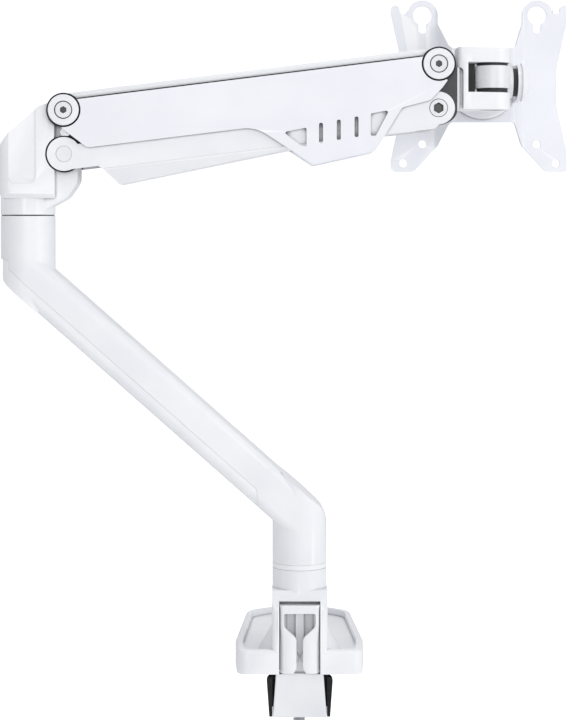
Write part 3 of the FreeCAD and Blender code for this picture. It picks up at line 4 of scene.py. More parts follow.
import bpy
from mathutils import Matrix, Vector


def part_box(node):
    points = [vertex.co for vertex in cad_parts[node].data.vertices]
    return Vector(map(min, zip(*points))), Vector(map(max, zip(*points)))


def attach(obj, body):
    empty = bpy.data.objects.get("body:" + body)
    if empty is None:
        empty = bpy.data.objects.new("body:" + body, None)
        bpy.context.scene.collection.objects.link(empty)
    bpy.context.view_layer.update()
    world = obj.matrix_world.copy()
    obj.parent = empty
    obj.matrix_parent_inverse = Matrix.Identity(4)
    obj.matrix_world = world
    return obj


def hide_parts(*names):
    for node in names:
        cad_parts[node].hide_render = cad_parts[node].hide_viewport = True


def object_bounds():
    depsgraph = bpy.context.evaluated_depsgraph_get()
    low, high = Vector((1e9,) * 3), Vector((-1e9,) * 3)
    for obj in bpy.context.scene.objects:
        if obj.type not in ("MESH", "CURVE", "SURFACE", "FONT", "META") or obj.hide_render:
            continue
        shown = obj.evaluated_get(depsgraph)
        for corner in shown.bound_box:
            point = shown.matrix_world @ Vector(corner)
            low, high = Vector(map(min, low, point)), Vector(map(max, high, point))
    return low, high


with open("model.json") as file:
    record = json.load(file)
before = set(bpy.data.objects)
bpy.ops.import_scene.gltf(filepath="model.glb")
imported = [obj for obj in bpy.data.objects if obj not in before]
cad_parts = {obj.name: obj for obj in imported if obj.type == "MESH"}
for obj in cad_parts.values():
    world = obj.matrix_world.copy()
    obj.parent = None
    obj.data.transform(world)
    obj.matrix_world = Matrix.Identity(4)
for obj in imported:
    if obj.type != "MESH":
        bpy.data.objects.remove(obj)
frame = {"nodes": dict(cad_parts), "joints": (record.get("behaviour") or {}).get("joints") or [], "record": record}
cad_low, cad_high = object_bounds()
bodies = frame["record"]["behaviour"]["bodies"]
home = {node: body for body, nodes in bodies.items() for node in nodes}
pivot = {joint["name"]: Vector(joint["pos_m"]) for joint in frame["joints"] if "pos_m" in joint}

# ---- Camera ----
# A view along +Y, square to the folded arm and as high as the elbow's parting line. The camera tips
# down by a little under a degree and the frame is shifted for the rest, which keeps the column's
# edges nearly upright and leaves room above the screen plate in the other views.
EYE = (-0.0102, -1.173, 0.2785)
TIP_DOWN = 0.8685
FRAME_SHIFT = -0.16
LENS = 95.1
bpy.ops.object.camera_add(location=EYE, rotation=(math.radians(90 - TIP_DOWN), 0, 0))
camera = bpy.context.object
camera.data.sensor_width = 36
camera.data.lens = LENS
camera.data.shift_y = FRAME_SHIFT
camera.data.clip_end = 60
bpy.context.scene.camera = camera

# ---- Studio ----
# A white paper sweep under and behind the arm, with large soft lights from the front, the right,
# above and behind, and an even white surround, so that only left-hand flanks turn grey.
FLOOR_SIZE = 12.0
WALL_HEIGHT = 6.0
SWEEP_RADIUS = 1.6
SWEEP_STEPS = 16
BACK_EDGE = FLOOR_SIZE / 2 - 0.01
PAPER_GLOW = 0.5


def pick_edges(piece, test):
    """Selects the edges of a piece in edit mode whose middle passes a test."""
    bpy.ops.object.mode_set(mode="EDIT")
    bpy.ops.mesh.select_mode(type="EDGE")
    bpy.ops.mesh.select_all(action="DESELECT")
    bpy.ops.object.mode_set(mode="OBJECT")
    for edge in piece.data.edges:
        ends = [piece.data.vertices[i].co for i in edge.vertices]
        edge.select = test((ends[0] + ends[1]) / 2)
    bpy.ops.object.mode_set(mode="EDIT")


bpy.ops.object.select_all(action="DESELECT")
bpy.ops.mesh.primitive_plane_add(size=FLOOR_SIZE, location=(0, 0, cad_low.z))
sweep = bpy.context.object
sweep.name = "paper_sweep"
bpy.ops.object.transform_apply()
pick_edges(sweep, lambda p: p.y > BACK_EDGE)
bpy.ops.mesh.extrude_region_move(TRANSFORM_OT_translate={"value": (0, 0, WALL_HEIGHT)})
pick_edges(sweep, lambda p: p.y > BACK_EDGE and p.z < cad_low.z + 0.01)
bpy.ops.mesh.bevel(offset=SWEEP_RADIUS, segments=SWEEP_STEPS, affect="EDGES")
bpy.ops.object.mode_set(mode="OBJECT")
bpy.ops.object.shade_smooth()
paper = bpy.data.materials.new("white paper")
paper.use_nodes = True
paper_shader = paper.node_tree.nodes["Principled BSDF"]
paper_shader.inputs["Base Color"].default_value = (0.93, 0.93, 0.94, 1)
paper_shader.inputs["Roughness"].default_value = 0.95
paper_shader.inputs["Emission Color"].default_value = (1, 1, 1, 1)
seen = paper.node_tree.nodes.new("ShaderNodeLightPath")
glow = paper.node_tree.nodes.new("ShaderNodeMath")
glow.operation = "MULTIPLY"
glow.inputs[1].default_value = PAPER_GLOW
paper.node_tree.links.new(seen.outputs["Is Camera Ray"], glow.inputs[0])
paper.node_tree.links.new(glow.outputs["Value"], paper_shader.inputs["Emission Strength"])
sweep.data.materials.append(paper)


def soft_light(name, place, target, size, power):
    """A square area light, turned to face a point."""
    bpy.ops.object.light_add(type="AREA", location=place)
    lamp = bpy.context.object
    lamp.name = name
    lamp.rotation_euler = (Vector(target) - Vector(place)).to_track_quat("-Z", "Y").to_euler()
    lamp.data.size = size
    lamp.data.energy = power


middle = (cad_low + cad_high) / 2
soft_light("key_light", (2.2, -1.4, 0.8), middle, 1.4, 16)
soft_light("top_light", (0.3, -0.4, 2.4), middle, 1.6, 10)
soft_light("front_light", (0.1, -3.2, 0.7), middle, 1.6, 18)
soft_light("back_light", (-0.4, 2.6, 2.2), middle, 1.6, 14)
surround = bpy.data.worlds.new("white surround")
surround.use_nodes = True
surround.node_tree.nodes["Background"].inputs["Color"].default_value = (0.97, 0.98, 1.0, 1)
surround.node_tree.nodes["Background"].inputs["Strength"].default_value = 0.62
bpy.context.scene.world = surround
bpy.context.scene.view_settings.view_transform = "Standard"

# ---- Base ----
# A dished foot, its column and the block behind it, die-cast in one piece, with a white powder coat.
# The spindle is fixed in from above, and a foam pad under the foot keeps the desk from scratches.
COAT_WHITE = (0.86, 0.865, 0.885)
COAT_SHADE = (0.80, 0.81, 0.84)
# Painted shade: the near-black put on the elbow's lug, the head's tongue and the bolt sockets.
PAINTED_SHADE_DARK = (0.035, 0.035, 0.04)
SEAM_REACH = 0.0036


def plain(name, colour, roughness, metallic=0.0):
    """A new material with its shader's plain values set, and the parts that a pattern is built on."""
    material = bpy.data.materials.new(name)
    material.use_nodes = True
    tree = material.node_tree
    shader = tree.nodes["Principled BSDF"]
    shader.inputs["Base Color"].default_value = (*colour, 1)
    shader.inputs["Roughness"].default_value = roughness
    shader.inputs["Metallic"].default_value = metallic
    where = tree.nodes.new("ShaderNodeTexCoord")
    return material, tree, shader, where.outputs["Object"]


def cloud(tree, place, scale, detail=3.0, stretch=None):
    """Noise of a given scale per metre, drawn out along an axis if stretch says so."""
    if stretch:
        mapping = tree.nodes.new("ShaderNodeMapping")
        mapping.inputs["Scale"].default_value = stretch
        tree.links.new(place, mapping.inputs["Vector"])
        place = mapping.outputs["Vector"]
    noise = tree.nodes.new("ShaderNodeTexNoise")
    noise.inputs["Scale"].default_value = scale
    noise.inputs["Detail"].default_value = detail
    tree.links.new(place, noise.inputs["Vector"])
    return noise.outputs["Fac"]


def vary_colour(tree, shader, amount, low, high):
    """Base colour that wanders between two shades."""
    ramp = tree.nodes.new("ShaderNodeValToRGB")
    ramp.color_ramp.elements[0].position = 0.35
    ramp.color_ramp.elements[0].color = (*low, 1)
    ramp.color_ramp.elements[1].position = 0.65
    ramp.color_ramp.elements[1].color = (*high, 1)
    tree.links.new(amount, ramp.inputs["Fac"])
    tree.links.new(ramp.outputs["Color"], shader.inputs["Base Color"])
    return ramp.outputs["Color"]


def vary_roughness(tree, shader, amount, low, high):
    span = tree.nodes.new("ShaderNodeMapRange")
    span.inputs["From Min"].default_value = 0.3
    span.inputs["From Max"].default_value = 0.7
    span.inputs["To Min"].default_value = low
    span.inputs["To Max"].default_value = high
    tree.links.new(amount, span.inputs["Value"])
    tree.links.new(span.outputs["Result"], shader.inputs["Roughness"])


def raise_grain(tree, shader, amount, height):
    """Small relief of a given height in metres."""
    bump = tree.nodes.new("ShaderNodeBump")
    bump.inputs["Distance"].default_value = height
    bump.inputs["Strength"].default_value = 1.0
    tree.links.new(amount, bump.inputs["Height"])
    tree.links.new(bump.outputs["Normal"], shader.inputs["Normal"])


def paint_edge_highlight(tree, shader, colour, highlight_colour, amount):
    """Painted highlight: sharp convex corners are lightened towards a brighter colour, as where their edges catch
    the light.
    """
    geometry = tree.nodes.new("ShaderNodeNewGeometry")
    # Painted highlight: pointiness picks out the sharp convex corners.
    ramp = tree.nodes.new("ShaderNodeValToRGB")
    ramp.color_ramp.elements[0].position = 0.54
    ramp.color_ramp.elements[0].color = (0, 0, 0, 1)
    ramp.color_ramp.elements[1].position = 0.62
    ramp.color_ramp.elements[1].color = (amount, amount, amount, 1)
    mix = tree.nodes.new("ShaderNodeMix")
    mix.data_type = "RGBA"
    tree.links.new(geometry.outputs["Pointiness"], ramp.inputs["Fac"])
    tree.links.new(ramp.outputs["Color"], mix.inputs["Factor"])
    tree.links.new(colour, mix.inputs["A"])
    mix.inputs["B"].default_value = (*highlight_colour, 1)
    tree.links.new(mix.outputs["Result"], shader.inputs["Base Color"])


def paint_seam_shade(tree, shader, reach):
    """Painted shade: ambient occlusion darkens the colour towards near-black where two pieces meet in a narrow
    gap.
    """
    shut_in = tree.nodes.new("ShaderNodeAmbientOcclusion")
    shut_in.samples = 8
    shut_in.inputs["Distance"].default_value = reach
    ramp = tree.nodes.new("ShaderNodeValToRGB")
    ramp.color_ramp.elements[0].position = 0.28
    ramp.color_ramp.elements[0].color = (0.03, 0.03, 0.035, 1)
    ramp.color_ramp.elements[1].position = 0.68
    ramp.color_ramp.elements[1].color = (1, 1, 1, 1)
    mix = tree.nodes.new("ShaderNodeMix")
    mix.data_type = "RGBA"
    mix.blend_type = "MULTIPLY"
    mix.inputs["Factor"].default_value = 1.0
    coloured = shader.inputs["Base Color"].links[0].from_socket
    tree.links.new(shut_in.outputs["AO"], ramp.inputs["Fac"])
    tree.links.new(coloured, mix.inputs["A"])
    tree.links.new(ramp.outputs["Color"], mix.inputs["B"])
    tree.links.new(mix.outputs["Result"], shader.inputs["Base Color"])


def powder_coat(name, light, dark, peel, roughness):
    """Sprayed and baked coat: a faint orange peel and wandering gloss, with painted highlights on its corners and
    painted shade in its seams.
    """
    material, tree, shader, place = plain(name, light, roughness)
    colour = vary_colour(tree, shader, cloud(tree, place, 22), dark, light)
    # Painted highlight on the sharp corners, then painted shade in the narrow seams.
    paint_edge_highlight(tree, shader, colour, (0.93, 0.93, 0.94), 0.8)
    paint_seam_shade(tree, shader, SEAM_REACH)
    vary_roughness(tree, shader, cloud(tree, place, 60), roughness - 0.06, roughness + 0.08)
    raise_grain(tree, shader, cloud(tree, place, 900, 2.0), peel)
    shader.inputs["Coat Weight"].default_value = 0.15
    shader.inputs["Coat Roughness"].default_value = 0.25
    return material


def with_painted_shade(coat, name, tests):
    """A copy of a coat with painted shade: near-black wherever every test of (axis, comparison, metres)
    holds, in gaps and sockets where shade falls. Y is measured from the arm's middle to either side."""
    material = coat.copy()
    material.name = name
    tree = material.node_tree
    shader = tree.nodes["Principled BSDF"]
    where = tree.nodes.new("ShaderNodeTexCoord")
    parts = tree.nodes.new("ShaderNodeSeparateXYZ")
    tree.links.new(where.outputs["Object"], parts.inputs["Vector"])
    inside = None
    for axis, comparison, limit in tests:
        value = parts.outputs[axis]
        if axis == "Y":
            either_side = tree.nodes.new("ShaderNodeMath")
            either_side.operation = "ABSOLUTE"
            tree.links.new(value, either_side.inputs[0])
            value = either_side.outputs["Value"]
        test = tree.nodes.new("ShaderNodeMath")
        test.operation = comparison
        test.inputs[1].default_value = limit
        tree.links.new(value, test.inputs[0])
        if inside is None:
            inside = test.outputs["Value"]
        else:
            both = tree.nodes.new("ShaderNodeMath")
            both.operation = "MULTIPLY"
            tree.links.new(inside, both.inputs[0])
            tree.links.new(test.outputs["Value"], both.inputs[1])
            inside = both.outputs["Value"]
    mix = tree.nodes.new("ShaderNodeMix")
    mix.data_type = "RGBA"
    # Painted shade: near-black where every test holds.
    mix.inputs["B"].default_value = (*PAINTED_SHADE_DARK, 1)
    coloured = shader.inputs["Base Color"].links[0].from_socket
    tree.links.new(inside, mix.inputs["Factor"])
    tree.links.new(coloured, mix.inputs["A"])
    tree.links.new(mix.outputs["Result"], shader.inputs["Base Color"])
    return material


def moulded_plastic(name, light, dark, grain, roughness):
    """Moulded plastic with a fine spark-eroded grain."""
    material, tree, shader, place = plain(name, light, roughness)
    vary_colour(tree, shader, cloud(tree, place, 30), dark, light)
    vary_roughness(tree, shader, cloud(tree, place, 120), roughness - 0.05, roughness + 0.07)
    raise_grain(tree, shader, cloud(tree, place, 2200, 4.0), grain)
    shader.inputs["Specular IOR Level"].default_value = 0.4
    return material


def machined(name, light, dark, roughness, lines):
    """Bare steel with the fine marks that turning or rolling leaves."""
    material, tree, shader, place = plain(name, light, roughness, 1.0)
    vary_colour(tree, shader, cloud(tree, place, 90), dark, light)
    marks = cloud(tree, place, 500, 2.0, lines)
    vary_roughness(tree, shader, marks, roughness - 0.08, roughness + 0.1)
    raise_grain(tree, shader, marks, 0.00002)
    return material


def only(piece):
    bpy.ops.object.select_all(action="DESELECT")
    piece.select_set(True)
    bpy.context.view_layer.objects.active = piece


def smooth_finish(piece, edge, sharp=30):
    """Rounds the hard edges of a piece, then shades it smooth between them."""
    only(piece)
    bpy.ops.object.shade_smooth_by_angle(angle=math.radians(sharp))
    if edge:
        bevel = piece.modifiers.new("rounded edges", "BEVEL")
        bevel.width = edge
        bevel.segments = 2
        bevel.limit_method = "ANGLE"
        bevel.angle_limit = math.radians(sharp)
        bevel.harden_normals = True
        bpy.ops.object.modifier_apply(modifier=bevel.name)
    else:
        weighted = piece.modifiers.new("flat faces", "WEIGHTED_NORMAL")
        weighted.keep_sharp = True
        bpy.ops.object.modifier_apply(modifier=weighted.name)


def surface_of(node, name):
    """A copy of a CAD piece's surface, its loose triangles merged and its flat faces made whole."""
    piece = bpy.data.objects.new(name, frame["nodes"][node].data.copy())
    bpy.context.scene.collection.objects.link(piece)
    piece.data.materials.clear()
    only(piece)
    bpy.ops.object.mode_set(mode="EDIT")
    bpy.ops.mesh.select_all(action="SELECT")
    bpy.ops.mesh.remove_doubles(threshold=0.000004)
    bpy.ops.mesh.dissolve_limited(angle_limit=math.radians(0.6))
    bpy.ops.object.mode_set(mode="OBJECT")
    return piece


def settle(piece, material, node):
    """Gives a finished piece its material, and puts it in the place of its CAD node."""
    piece.data.materials.append(material)
    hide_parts(node)
    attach(piece, home[node])


def finished(node, material, edge):
    """A CAD piece's own shape with rounded edges, in its place."""
    piece = surface_of(node, node + "_finished")
    smooth_finish(piece, edge)
    settle(piece, material, node)


def carried(material, *nodes):
    """CAD pieces that stay as they are and only get their material."""
    for node in nodes:
        shown = frame["nodes"][node]
        shown.data.materials.clear()
        shown.data.materials.append(material)


white_coat = powder_coat("white powder coat", COAT_WHITE, COAT_SHADE, 0.00005, 0.42)
finished("base_casting", white_coat, 0.0009)

bright_steel = machined(
    "bright zinc-plated steel", (0.62, 0.62, 0.64), (0.52, 0.52, 0.55), 0.32, (1, 1, 12))
carried(bright_steel, "base_spindle")

foam, foam_tree, foam_shader, foam_place = plain("dark foam", (0.10, 0.10, 0.11), 0.9)
cells = foam_tree.nodes.new("ShaderNodeTexVoronoi")
cells.inputs["Scale"].default_value = 1400
foam_tree.links.new(foam_place, cells.inputs["Vector"])
vary_colour(
    foam_tree, foam_shader, cells.outputs["Distance"], (0.05, 0.05, 0.055), (0.13, 0.13, 0.14))
raise_grain(foam_tree, foam_shader, cells.outputs["Distance"], 0.0002)
carried(foam, "base_pad")

# ---- Base bearing ----
# A flanged sleeve in white acetal, turned smooth, that the lower arm rides on.
# A spring-steel ring in the spindle's groove keeps the arm from lifting off it.
white_plastic = moulded_plastic(
    "white moulded plastic", (0.87, 0.875, 0.895), (0.83, 0.835, 0.86), 0.00003, 0.38)
finished("base_bearing", white_plastic, 0.0003)
spring_steel = machined("oiled spring steel", (0.30, 0.30, 0.32), (0.20, 0.20, 0.22), 0.3, (1, 14, 1))
carried(spring_steel, "base_snap_ring", "elbow_snap_ring")

# ---- Cable clip ----
# A moulded cover snapped into the block behind the column, with a cup for the cables above.
# Its two flaps bulge and flex apart, so that a cable can be pressed in through the slit.
CLIP_BULGE = 0.0022
CLIP_WALL = 0.0035
FLAP_SHARE = 0.68
FLAP_FADE = 0.010
CUTS_ACROSS = 12
CUTS_UP = 10
clip_low, clip_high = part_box("cable_clip")
clip = surface_of("cable_clip", "cable_clip_finished")
bpy.ops.object.mode_set(mode="EDIT")
for step in range(1, CUTS_ACROSS):
    cut = clip_low.x + (clip_high.x - clip_low.x) * step / CUTS_ACROSS
    bpy.ops.mesh.select_all(action="SELECT")
    bpy.ops.mesh.bisect(plane_co=(cut, 0, 0), plane_no=(1, 0, 0))
for step in range(1, CUTS_UP):
    cut = clip_low.z + (clip_high.z - clip_low.z) * step / CUTS_UP
    bpy.ops.mesh.select_all(action="SELECT")
    bpy.ops.mesh.bisect(plane_co=(0, 0, cut), plane_no=(0, 0, 1))
bpy.ops.object.mode_set(mode="OBJECT")
flap_half = clip_high.x / 2
flap_top = clip_low.z + FLAP_SHARE * (clip_high.z - clip_low.z)
for point in clip.data.vertices:
    across = (abs(point.co.x) - flap_half) / flap_half
    down = min(1.0, max(0.0, (flap_top - point.co.z) / FLAP_FADE))
    if point.co.y < clip_low.y + CLIP_WALL and abs(across) < 1:
        point.co.y += CLIP_BULGE * across * across * down
smooth_finish(clip, 0.0005, 35)
settle(clip, white_plastic, "cable_clip")

# ---- Desk clamp ----
# A bent and welded steel bracket with the same coat, slotted for two low bolts, with a rubber
# buffer moulded over its desk side. A screw with a plastic knob lifts the pad against the desk.
finished("clamp_bracket", white_coat, 0.0008)
carried(bright_steel, "clamp_bolts", "clamp_pad")


def rubber(name, light, dark):
    """Matt rubber with a dusty bloom."""
    material, tree, shader, place = plain(name, light, 0.7)
    vary_colour(tree, shader, cloud(tree, place, 140, 5.0), dark, light)
    vary_roughness(tree, shader, cloud(tree, place, 300), 0.6, 0.85)
    raise_grain(tree, shader, cloud(tree, place, 1800), 0.00004)
    shader.inputs["Specular IOR Level"].default_value = 0.3
    return material


black_rubber = rubber("black rubber", (0.016, 0.016, 0.018), (0.008, 0.008, 0.009))
finished("clamp_bumper", black_rubber, 0.0006)
finished("clamp_rubber", black_rubber, 0.0004)
black_plastic = moulded_plastic(
    "black moulded plastic", (0.03, 0.03, 0.033), (0.018, 0.018, 0.02), 0.00004, 0.5)
finished("clamp_knob", black_plastic, 0.0014)

# ---- Clamp screw ----
# A steel screw with a rolled thread of 1.75 mm pitch over its whole length and plain flat ends.
# Its upper end sits in the pad's socket, and its lower end in the knob.
CLAMP_PITCH = 0.00175
THREAD_DEPTH = 0.6
THREAD_FLANK = 0.42
THREAD_CREST = 0.12
THREAD_STEPS = 28
LAP = 0.00002
WELD = 0.000001


def line_of_points(name, points):
    """A line in the XZ plane, started from one point and extruded from point to point."""
    bpy.ops.object.select_all(action="DESELECT")
    bpy.ops.mesh.primitive_plane_add(size=0.001)
    line = bpy.context.object
    line.name = name
    bpy.ops.object.mode_set(mode="EDIT")
    bpy.ops.mesh.select_mode(type="VERT")
    bpy.ops.mesh.merge(type="CENTER")
    bpy.ops.transform.translate(value=(points[0][0], 0, points[0][1]))
    for start, end in zip(points, points[1:]):
        bpy.ops.mesh.extrude_region_move(
            TRANSFORM_OT_translate={"value": (end[0] - start[0], 0, end[1] - start[1])})
    bpy.ops.object.mode_set(mode="OBJECT")
    return line


def outward(piece):
    """Merges a turned mesh's seam and points its faces outwards."""
    only(piece)
    bpy.ops.object.mode_set(mode="EDIT")
    bpy.ops.mesh.select_all(action="SELECT")
    bpy.ops.mesh.remove_doubles(threshold=WELD)
    bpy.ops.mesh.normals_make_consistent(inside=False)
    bpy.ops.object.mode_set(mode="OBJECT")


def turned(name, points, steps=48):
    """A closed solid of revolution about Z from a line of (radius, height) points."""
    piece = line_of_points(name, points)
    screw = piece.modifiers.new("turn", "SCREW")
    screw.steps = steps
    screw.render_steps = steps
    screw.use_merge_vertices = True
    screw.merge_threshold = WELD
    bpy.ops.object.modifier_apply(modifier=screw.name)
    outward(piece)
    return piece


def threaded(name, outer, pitch, length):
    """A rod along Z from the origin, with a helical thread and closed ends."""
    root = outer - THREAD_DEPTH * pitch
    turns = max(2, int(length / pitch) - 1)
    flank = THREAD_FLANK * pitch
    rod = line_of_points(
        name, [(root, 0), (outer, flank), (outer, flank + THREAD_CREST * pitch), (root, pitch)])
    helix = rod.modifiers.new("thread", "SCREW")
    helix.steps = THREAD_STEPS
    helix.render_steps = THREAD_STEPS
    helix.screw_offset = pitch
    helix.iterations = turns
    helix.use_merge_vertices = True
    helix.merge_threshold = WELD
    bpy.ops.object.modifier_apply(modifier=helix.name)
    outward(rod)
    core_points = [(0, 0), (root + LAP, 0), (root + LAP, length), (0, length)]
    turned(name + "_core", core_points, THREAD_STEPS)
    rod.select_set(True)
    bpy.context.view_layer.objects.active = rod
    bpy.ops.object.join()
    return rod


def placed(piece, place, direction=(0, 0, 1)):
    """Turns a piece made along Z to a direction, moves it, and applies both."""
    piece.rotation_euler = Vector(direction).to_track_quat("Z", "Y").to_euler()
    piece.location = place
    only(piece)
    bpy.ops.object.transform_apply()


screw_low, screw_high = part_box("clamp_screw")
screw_middle = (screw_low + screw_high) / 2
screw_radius = (screw_high.x - screw_low.x) / 2 - LAP
clamp_screw = threaded(
    "clamp_screw_finished", screw_radius, CLAMP_PITCH, screw_high.z - screw_low.z)
placed(clamp_screw, (screw_middle.x, screw_middle.y, screw_low.z))
smooth_finish(clamp_screw, 0)
settle(clamp_screw, bright_steel, "clamp_screw")

# ---- Lower arm ----
# One aluminium casting from the base's swivel to the elbow, with a moulded cover that closes the
# cable channel under its sloping beam. A small grub screw in the neck sets the swivel's drag.
finished("lower_arm_casting", white_coat, 0.0006)
finished("lower_arm_cover", white_plastic, 0.0004)
carried(bright_steel, "base_lock_screw", "elbow_lock_screw")

# ---- Elbow ----
# The cast post turns on a steel spindle and carries both links between its cheeks. Round caps close
# the upper pivot, a plain pin holds the lower one, and black rubber rings, as painted shade, fill the
# gaps behind the caps and ears. The lug between the links is painted near-black as painted shade.
carried(bright_steel, "elbow_spindle", "spring_anchor_pin")
carried(black_plastic, "elbow_bearing")
upper_pivot = pivot["arm_lift"]
lower_pivot = pivot["link_swing"]
LUG_BACK = 0.0019
LUG_HALF = 0.0123
LUG_DROP = 0.008
# Painted shade on the lug between the links, behind the hubs.
post_coat = with_painted_shade(white_coat, "white coat, painted shade on lug", [
    ("X", "GREATER_THAN", upper_pivot.x - LUG_BACK),
    ("Y", "LESS_THAN", LUG_HALF),
    ("Z", "GREATER_THAN", lower_pivot.z - LUG_DROP),
])
finished("elbow_post", post_coat, 0.0006)

CAP_EDGE = 0.0005
finished("elbow_hubs", white_coat, CAP_EDGE)
coated_steel = powder_coat(
    "coated bolt steel", (0.80, 0.80, 0.82), (0.74, 0.74, 0.77), 0.00002, 0.3)
SOCKET_LIP = 0.0007
upper_bolt_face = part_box("elbow_upper_bolt")[1].y
# Painted shade in the upper bolts' sockets, deeper than the head's face.
upper_bolt_coat = with_painted_shade(
    coated_steel, "coated upper bolt", [("Y", "LESS_THAN", upper_bolt_face - SOCKET_LIP)])
finished("elbow_upper_bolt", upper_bolt_coat, 0.0003)
finished("elbow_lower_pin", coated_steel, 0.0004)

SHADE_RING_IN = 0.00945
SHADE_RING_EDGE = 0.01035
SHADE_RING_OUT = 0.0216
SHADE_RING_T = 0.0038
HEAD_RING_IN = 0.0051
HEAD_RING_EDGE = 0.0055
HEAD_RING_T = 0.0006
HEAD_RING_LIFT = 0.00004
LOWER_SHADE_RING_IN = 0.0075
LOWER_SHADE_RING_EDGE = 0.0112
LOWER_SHADE_RING_OUT = 0.0165
LOWER_SHADE_RING_T = 0.0010


def painted_shade_rings(name, pivot_point, inner, outer, out, thick, body):
    """Painted shade: a black ring round a pivot on each side, that fills the gap round its cap or ear where shade
    falls.
    """
    for side, start in (("near", -out), ("far", out - thick)):
        outline = [(inner, 0), (outer, 0), (outer, thick), (inner, thick), (inner, 0)]
        ring = turned(f"{name}_{side}", outline)
        placed(ring, (pivot_point.x, start, pivot_point.z), (0, 1, 0))
        smooth_finish(ring, 0)
        ring.data.materials.append(black_rubber)
        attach(ring, body)


# Painted shade: black rings in the gaps round the upper cap, the bolt head and the lower ear.
head_ring_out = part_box("elbow_hubs")[1].y + HEAD_RING_LIFT
painted_shade_rings(
    "elbow_upper_shade_ring", upper_pivot, SHADE_RING_IN, SHADE_RING_EDGE, SHADE_RING_OUT, SHADE_RING_T, "elbow")
painted_shade_rings(
    "elbow_bolt_ring", upper_pivot, HEAD_RING_IN, HEAD_RING_EDGE, head_ring_out, HEAD_RING_T, "elbow")
painted_shade_rings(
    "elbow_lower_shade_ring", lower_pivot, LOWER_SHADE_RING_IN, LOWER_SHADE_RING_EDGE, LOWER_SHADE_RING_OUT, LOWER_SHADE_RING_T,
    "elbow")

# ---- Upper arm ----
# A folded steel channel with a coated flat plate on each side, whose vented skirts hang over the
# lower link. A thin black rubber strip lies along each plate's top edge, and a steel block across the
# channel holds the tension screw.
PLATE_WHITE = (0.82, 0.83, 0.87)
PLATE_SHADE = (0.79, 0.80, 0.845)
finished("upper_channel", white_coat, 0.0004)
plate_coat = powder_coat("plate coat", PLATE_WHITE, PLATE_SHADE, 0.00002, 0.36)
finished("side_plate_near", plate_coat, 0.0005)
finished("side_plate_far", plate_coat, 0.0005)
finished("upper_bushes", black_plastic, 0.0003)

EDGE_STRIP_UP = 0.0054
EDGE_STRIP_T = 0.0007
EDGE_STRIP_END = 0.0092
EDGE_STRIP_WIDE = 0.0017
EDGE_STRIP_GAP = 0.0002
arm_line = pivot["head_level"] - pivot["arm_lift"]
arm_rise = math.atan2(arm_line.z, arm_line.x)
arm_up = Vector((-math.sin(arm_rise), 0, math.cos(arm_rise)))
plate_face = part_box("side_plate_near")[0].y
for side, name in ((1, "near_plate_edge_strip"), (-1, "far_plate_edge_strip")):
    bpy.ops.object.select_all(action="DESELECT")
    bpy.ops.mesh.primitive_cube_add(size=1)
    edge_strip = bpy.context.object
    edge_strip.name = name
    edge_strip.scale = (arm_line.length - 2 * EDGE_STRIP_END, EDGE_STRIP_WIDE, EDGE_STRIP_T)
    edge_strip.rotation_euler = (0, -arm_rise, 0)
    edge_strip.location = pivot["arm_lift"] + arm_line / 2 + arm_up * (EDGE_STRIP_UP + EDGE_STRIP_T / 2)
    edge_strip.location.y = side * (plate_face + EDGE_STRIP_GAP + EDGE_STRIP_WIDE / 2)
    bpy.ops.object.transform_apply()
    smooth_finish(edge_strip, 0.0002)
    edge_strip.data.materials.append(black_rubber)
    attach(edge_strip, "upper_arm")

dark_metal, dark_tree, dark_shader, dark_place = plain(
    "phosphated steel", (0.10, 0.10, 0.11), 0.55, 0.6)
vary_colour(
    dark_tree, dark_shader, cloud(dark_tree, dark_place, 200), (0.06, 0.06, 0.065), (0.13, 0.13, 0.14))
raise_grain(dark_tree, dark_shader, cloud(dark_tree, dark_place, 1200), 0.00003)
finished("screw_block", dark_metal, 0.0005)

# ---- Lift spring ----
# A coil of oiled wire on a guide rod, between a seat with an eye on the post's pin and a nut
# that the tension screw draws along the channel to suit the screen's weight.
finished("spring_eye", dark_metal, 0.0004)
finished("spring_nut", dark_metal, 0.0005)
carried(spring_steel, "lift_spring")
carried(bright_steel, "tension_screw")

# ---- Lower link ----
# A cast trough that keeps the head level, with a moulded belly cover held by two small screws.
finished("lower_link", white_coat, 0.0005)
finished("lower_link_cover", white_plastic, 0.0005)
carried(bright_steel, "link_cover_screws")
finished("lower_bushes", black_plastic, 0.0003)
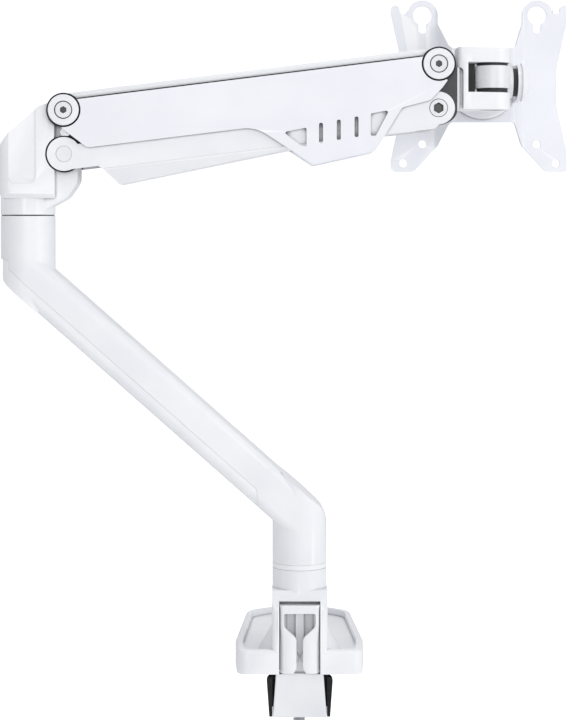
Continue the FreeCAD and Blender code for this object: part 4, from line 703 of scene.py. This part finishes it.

# ---- Head ----
# A cast bracket on both links, with a window for the swivel knuckle, which turns on a bolt. Black
# rings, as painted shade, fill the gaps behind its caps, a black plastic block stands in the window
# beside the barrel, and the tongue between the links is painted near-black as painted shade.
TONGUE_END = 0.0120
finished("head_hubs", white_coat, CAP_EDGE)
head_pivot = pivot["head_level"]
finished("head_upper_bolt", upper_bolt_coat, 0.0003)
lower_bolt_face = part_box("head_lower_bolt")[1].y
# Painted shade in the lower bolt's socket, deeper than the head's face.
lower_bolt_coat = with_painted_shade(
    coated_steel, "coated lower bolt", [("Y", "LESS_THAN", lower_bolt_face - SOCKET_LIP)])
finished("head_lower_bolt", lower_bolt_coat, 0.0003)
# Painted shade: black rings in the gaps round the head's cap and bolt head.
painted_shade_rings(
    "head_upper_shade_ring", head_pivot, SHADE_RING_IN, SHADE_RING_EDGE, SHADE_RING_OUT, SHADE_RING_T, "head")
painted_shade_rings(
    "head_bolt_ring", head_pivot, HEAD_RING_IN, HEAD_RING_EDGE, head_ring_out, HEAD_RING_T, "head")
# Painted shade on the tongue between the links.
bracket_coat = with_painted_shade(
    white_coat, "white coat, painted shade on tongue", [("X", "LESS_THAN", head_pivot.x + TONGUE_END)])
finished("head_bracket", bracket_coat, 0.0007)
finished("swivel_pin", coated_steel, 0.0004)
carried(bright_steel, "swivel_nut")
finished("swivel_washers", black_plastic, 0.0003)
satin_coat = powder_coat(
    "satin barrel coat", (0.78, 0.78, 0.80), (0.72, 0.72, 0.75), 0.00001, 0.28)
finished("swivel_knuckle", satin_coat, 0.0006)

BARREL_R = 0.0105
DARK_BLOCK_GAP = 0.0002
DARK_BLOCK_HALF = 0.0012
WINDOW_SIDE = 0.0185
WINDOW_UP = 0.0018
WINDOW_DOWN = 0.0165
barrel_left = pivot["head_swivel"].x - BARREL_R
window_left = head_pivot.x + WINDOW_SIDE
bpy.ops.object.select_all(action="DESELECT")
bpy.ops.mesh.primitive_cube_add(size=1)
dark_block = bpy.context.object
dark_block.name = "window_dark_block"
dark_block_wide = barrel_left - window_left - 2 * DARK_BLOCK_GAP
dark_block_tall = WINDOW_UP + WINDOW_DOWN - 2 * DARK_BLOCK_GAP
dark_block.scale = (dark_block_wide, 2 * DARK_BLOCK_HALF, dark_block_tall)
dark_block.location = ((window_left + barrel_left) / 2, 0, head_pivot.z + (WINDOW_UP - WINDOW_DOWN) / 2)
bpy.ops.object.transform_apply()
smooth_finish(dark_block, 0.0003)
dark_block.data.materials.append(black_plastic)
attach(dark_block, "head")

# ---- Tilt yoke ----
# A pressed yoke clamped to the knuckle's boss by a bolt between friction washers, with domed caps.
finished("tilt_washers", black_plastic, 0.0004)
finished("tilt_yoke", white_coat, 0.0005)
finished("tilt_caps", white_plastic, 0.0006)
carried(bright_steel, "tilt_bolt", "tilt_nut")

# ---- Screen plate ----
# Pressed sheet with the two standard hole squares, keyholes above and notches beside them.
finished("screen_plate", plate_coat, 0.0005)
finished("friction_washer", black_plastic, 0.0003)
finished("spin_bolt", coated_steel, 0.0005)
carried(bright_steel, "spin_nut")
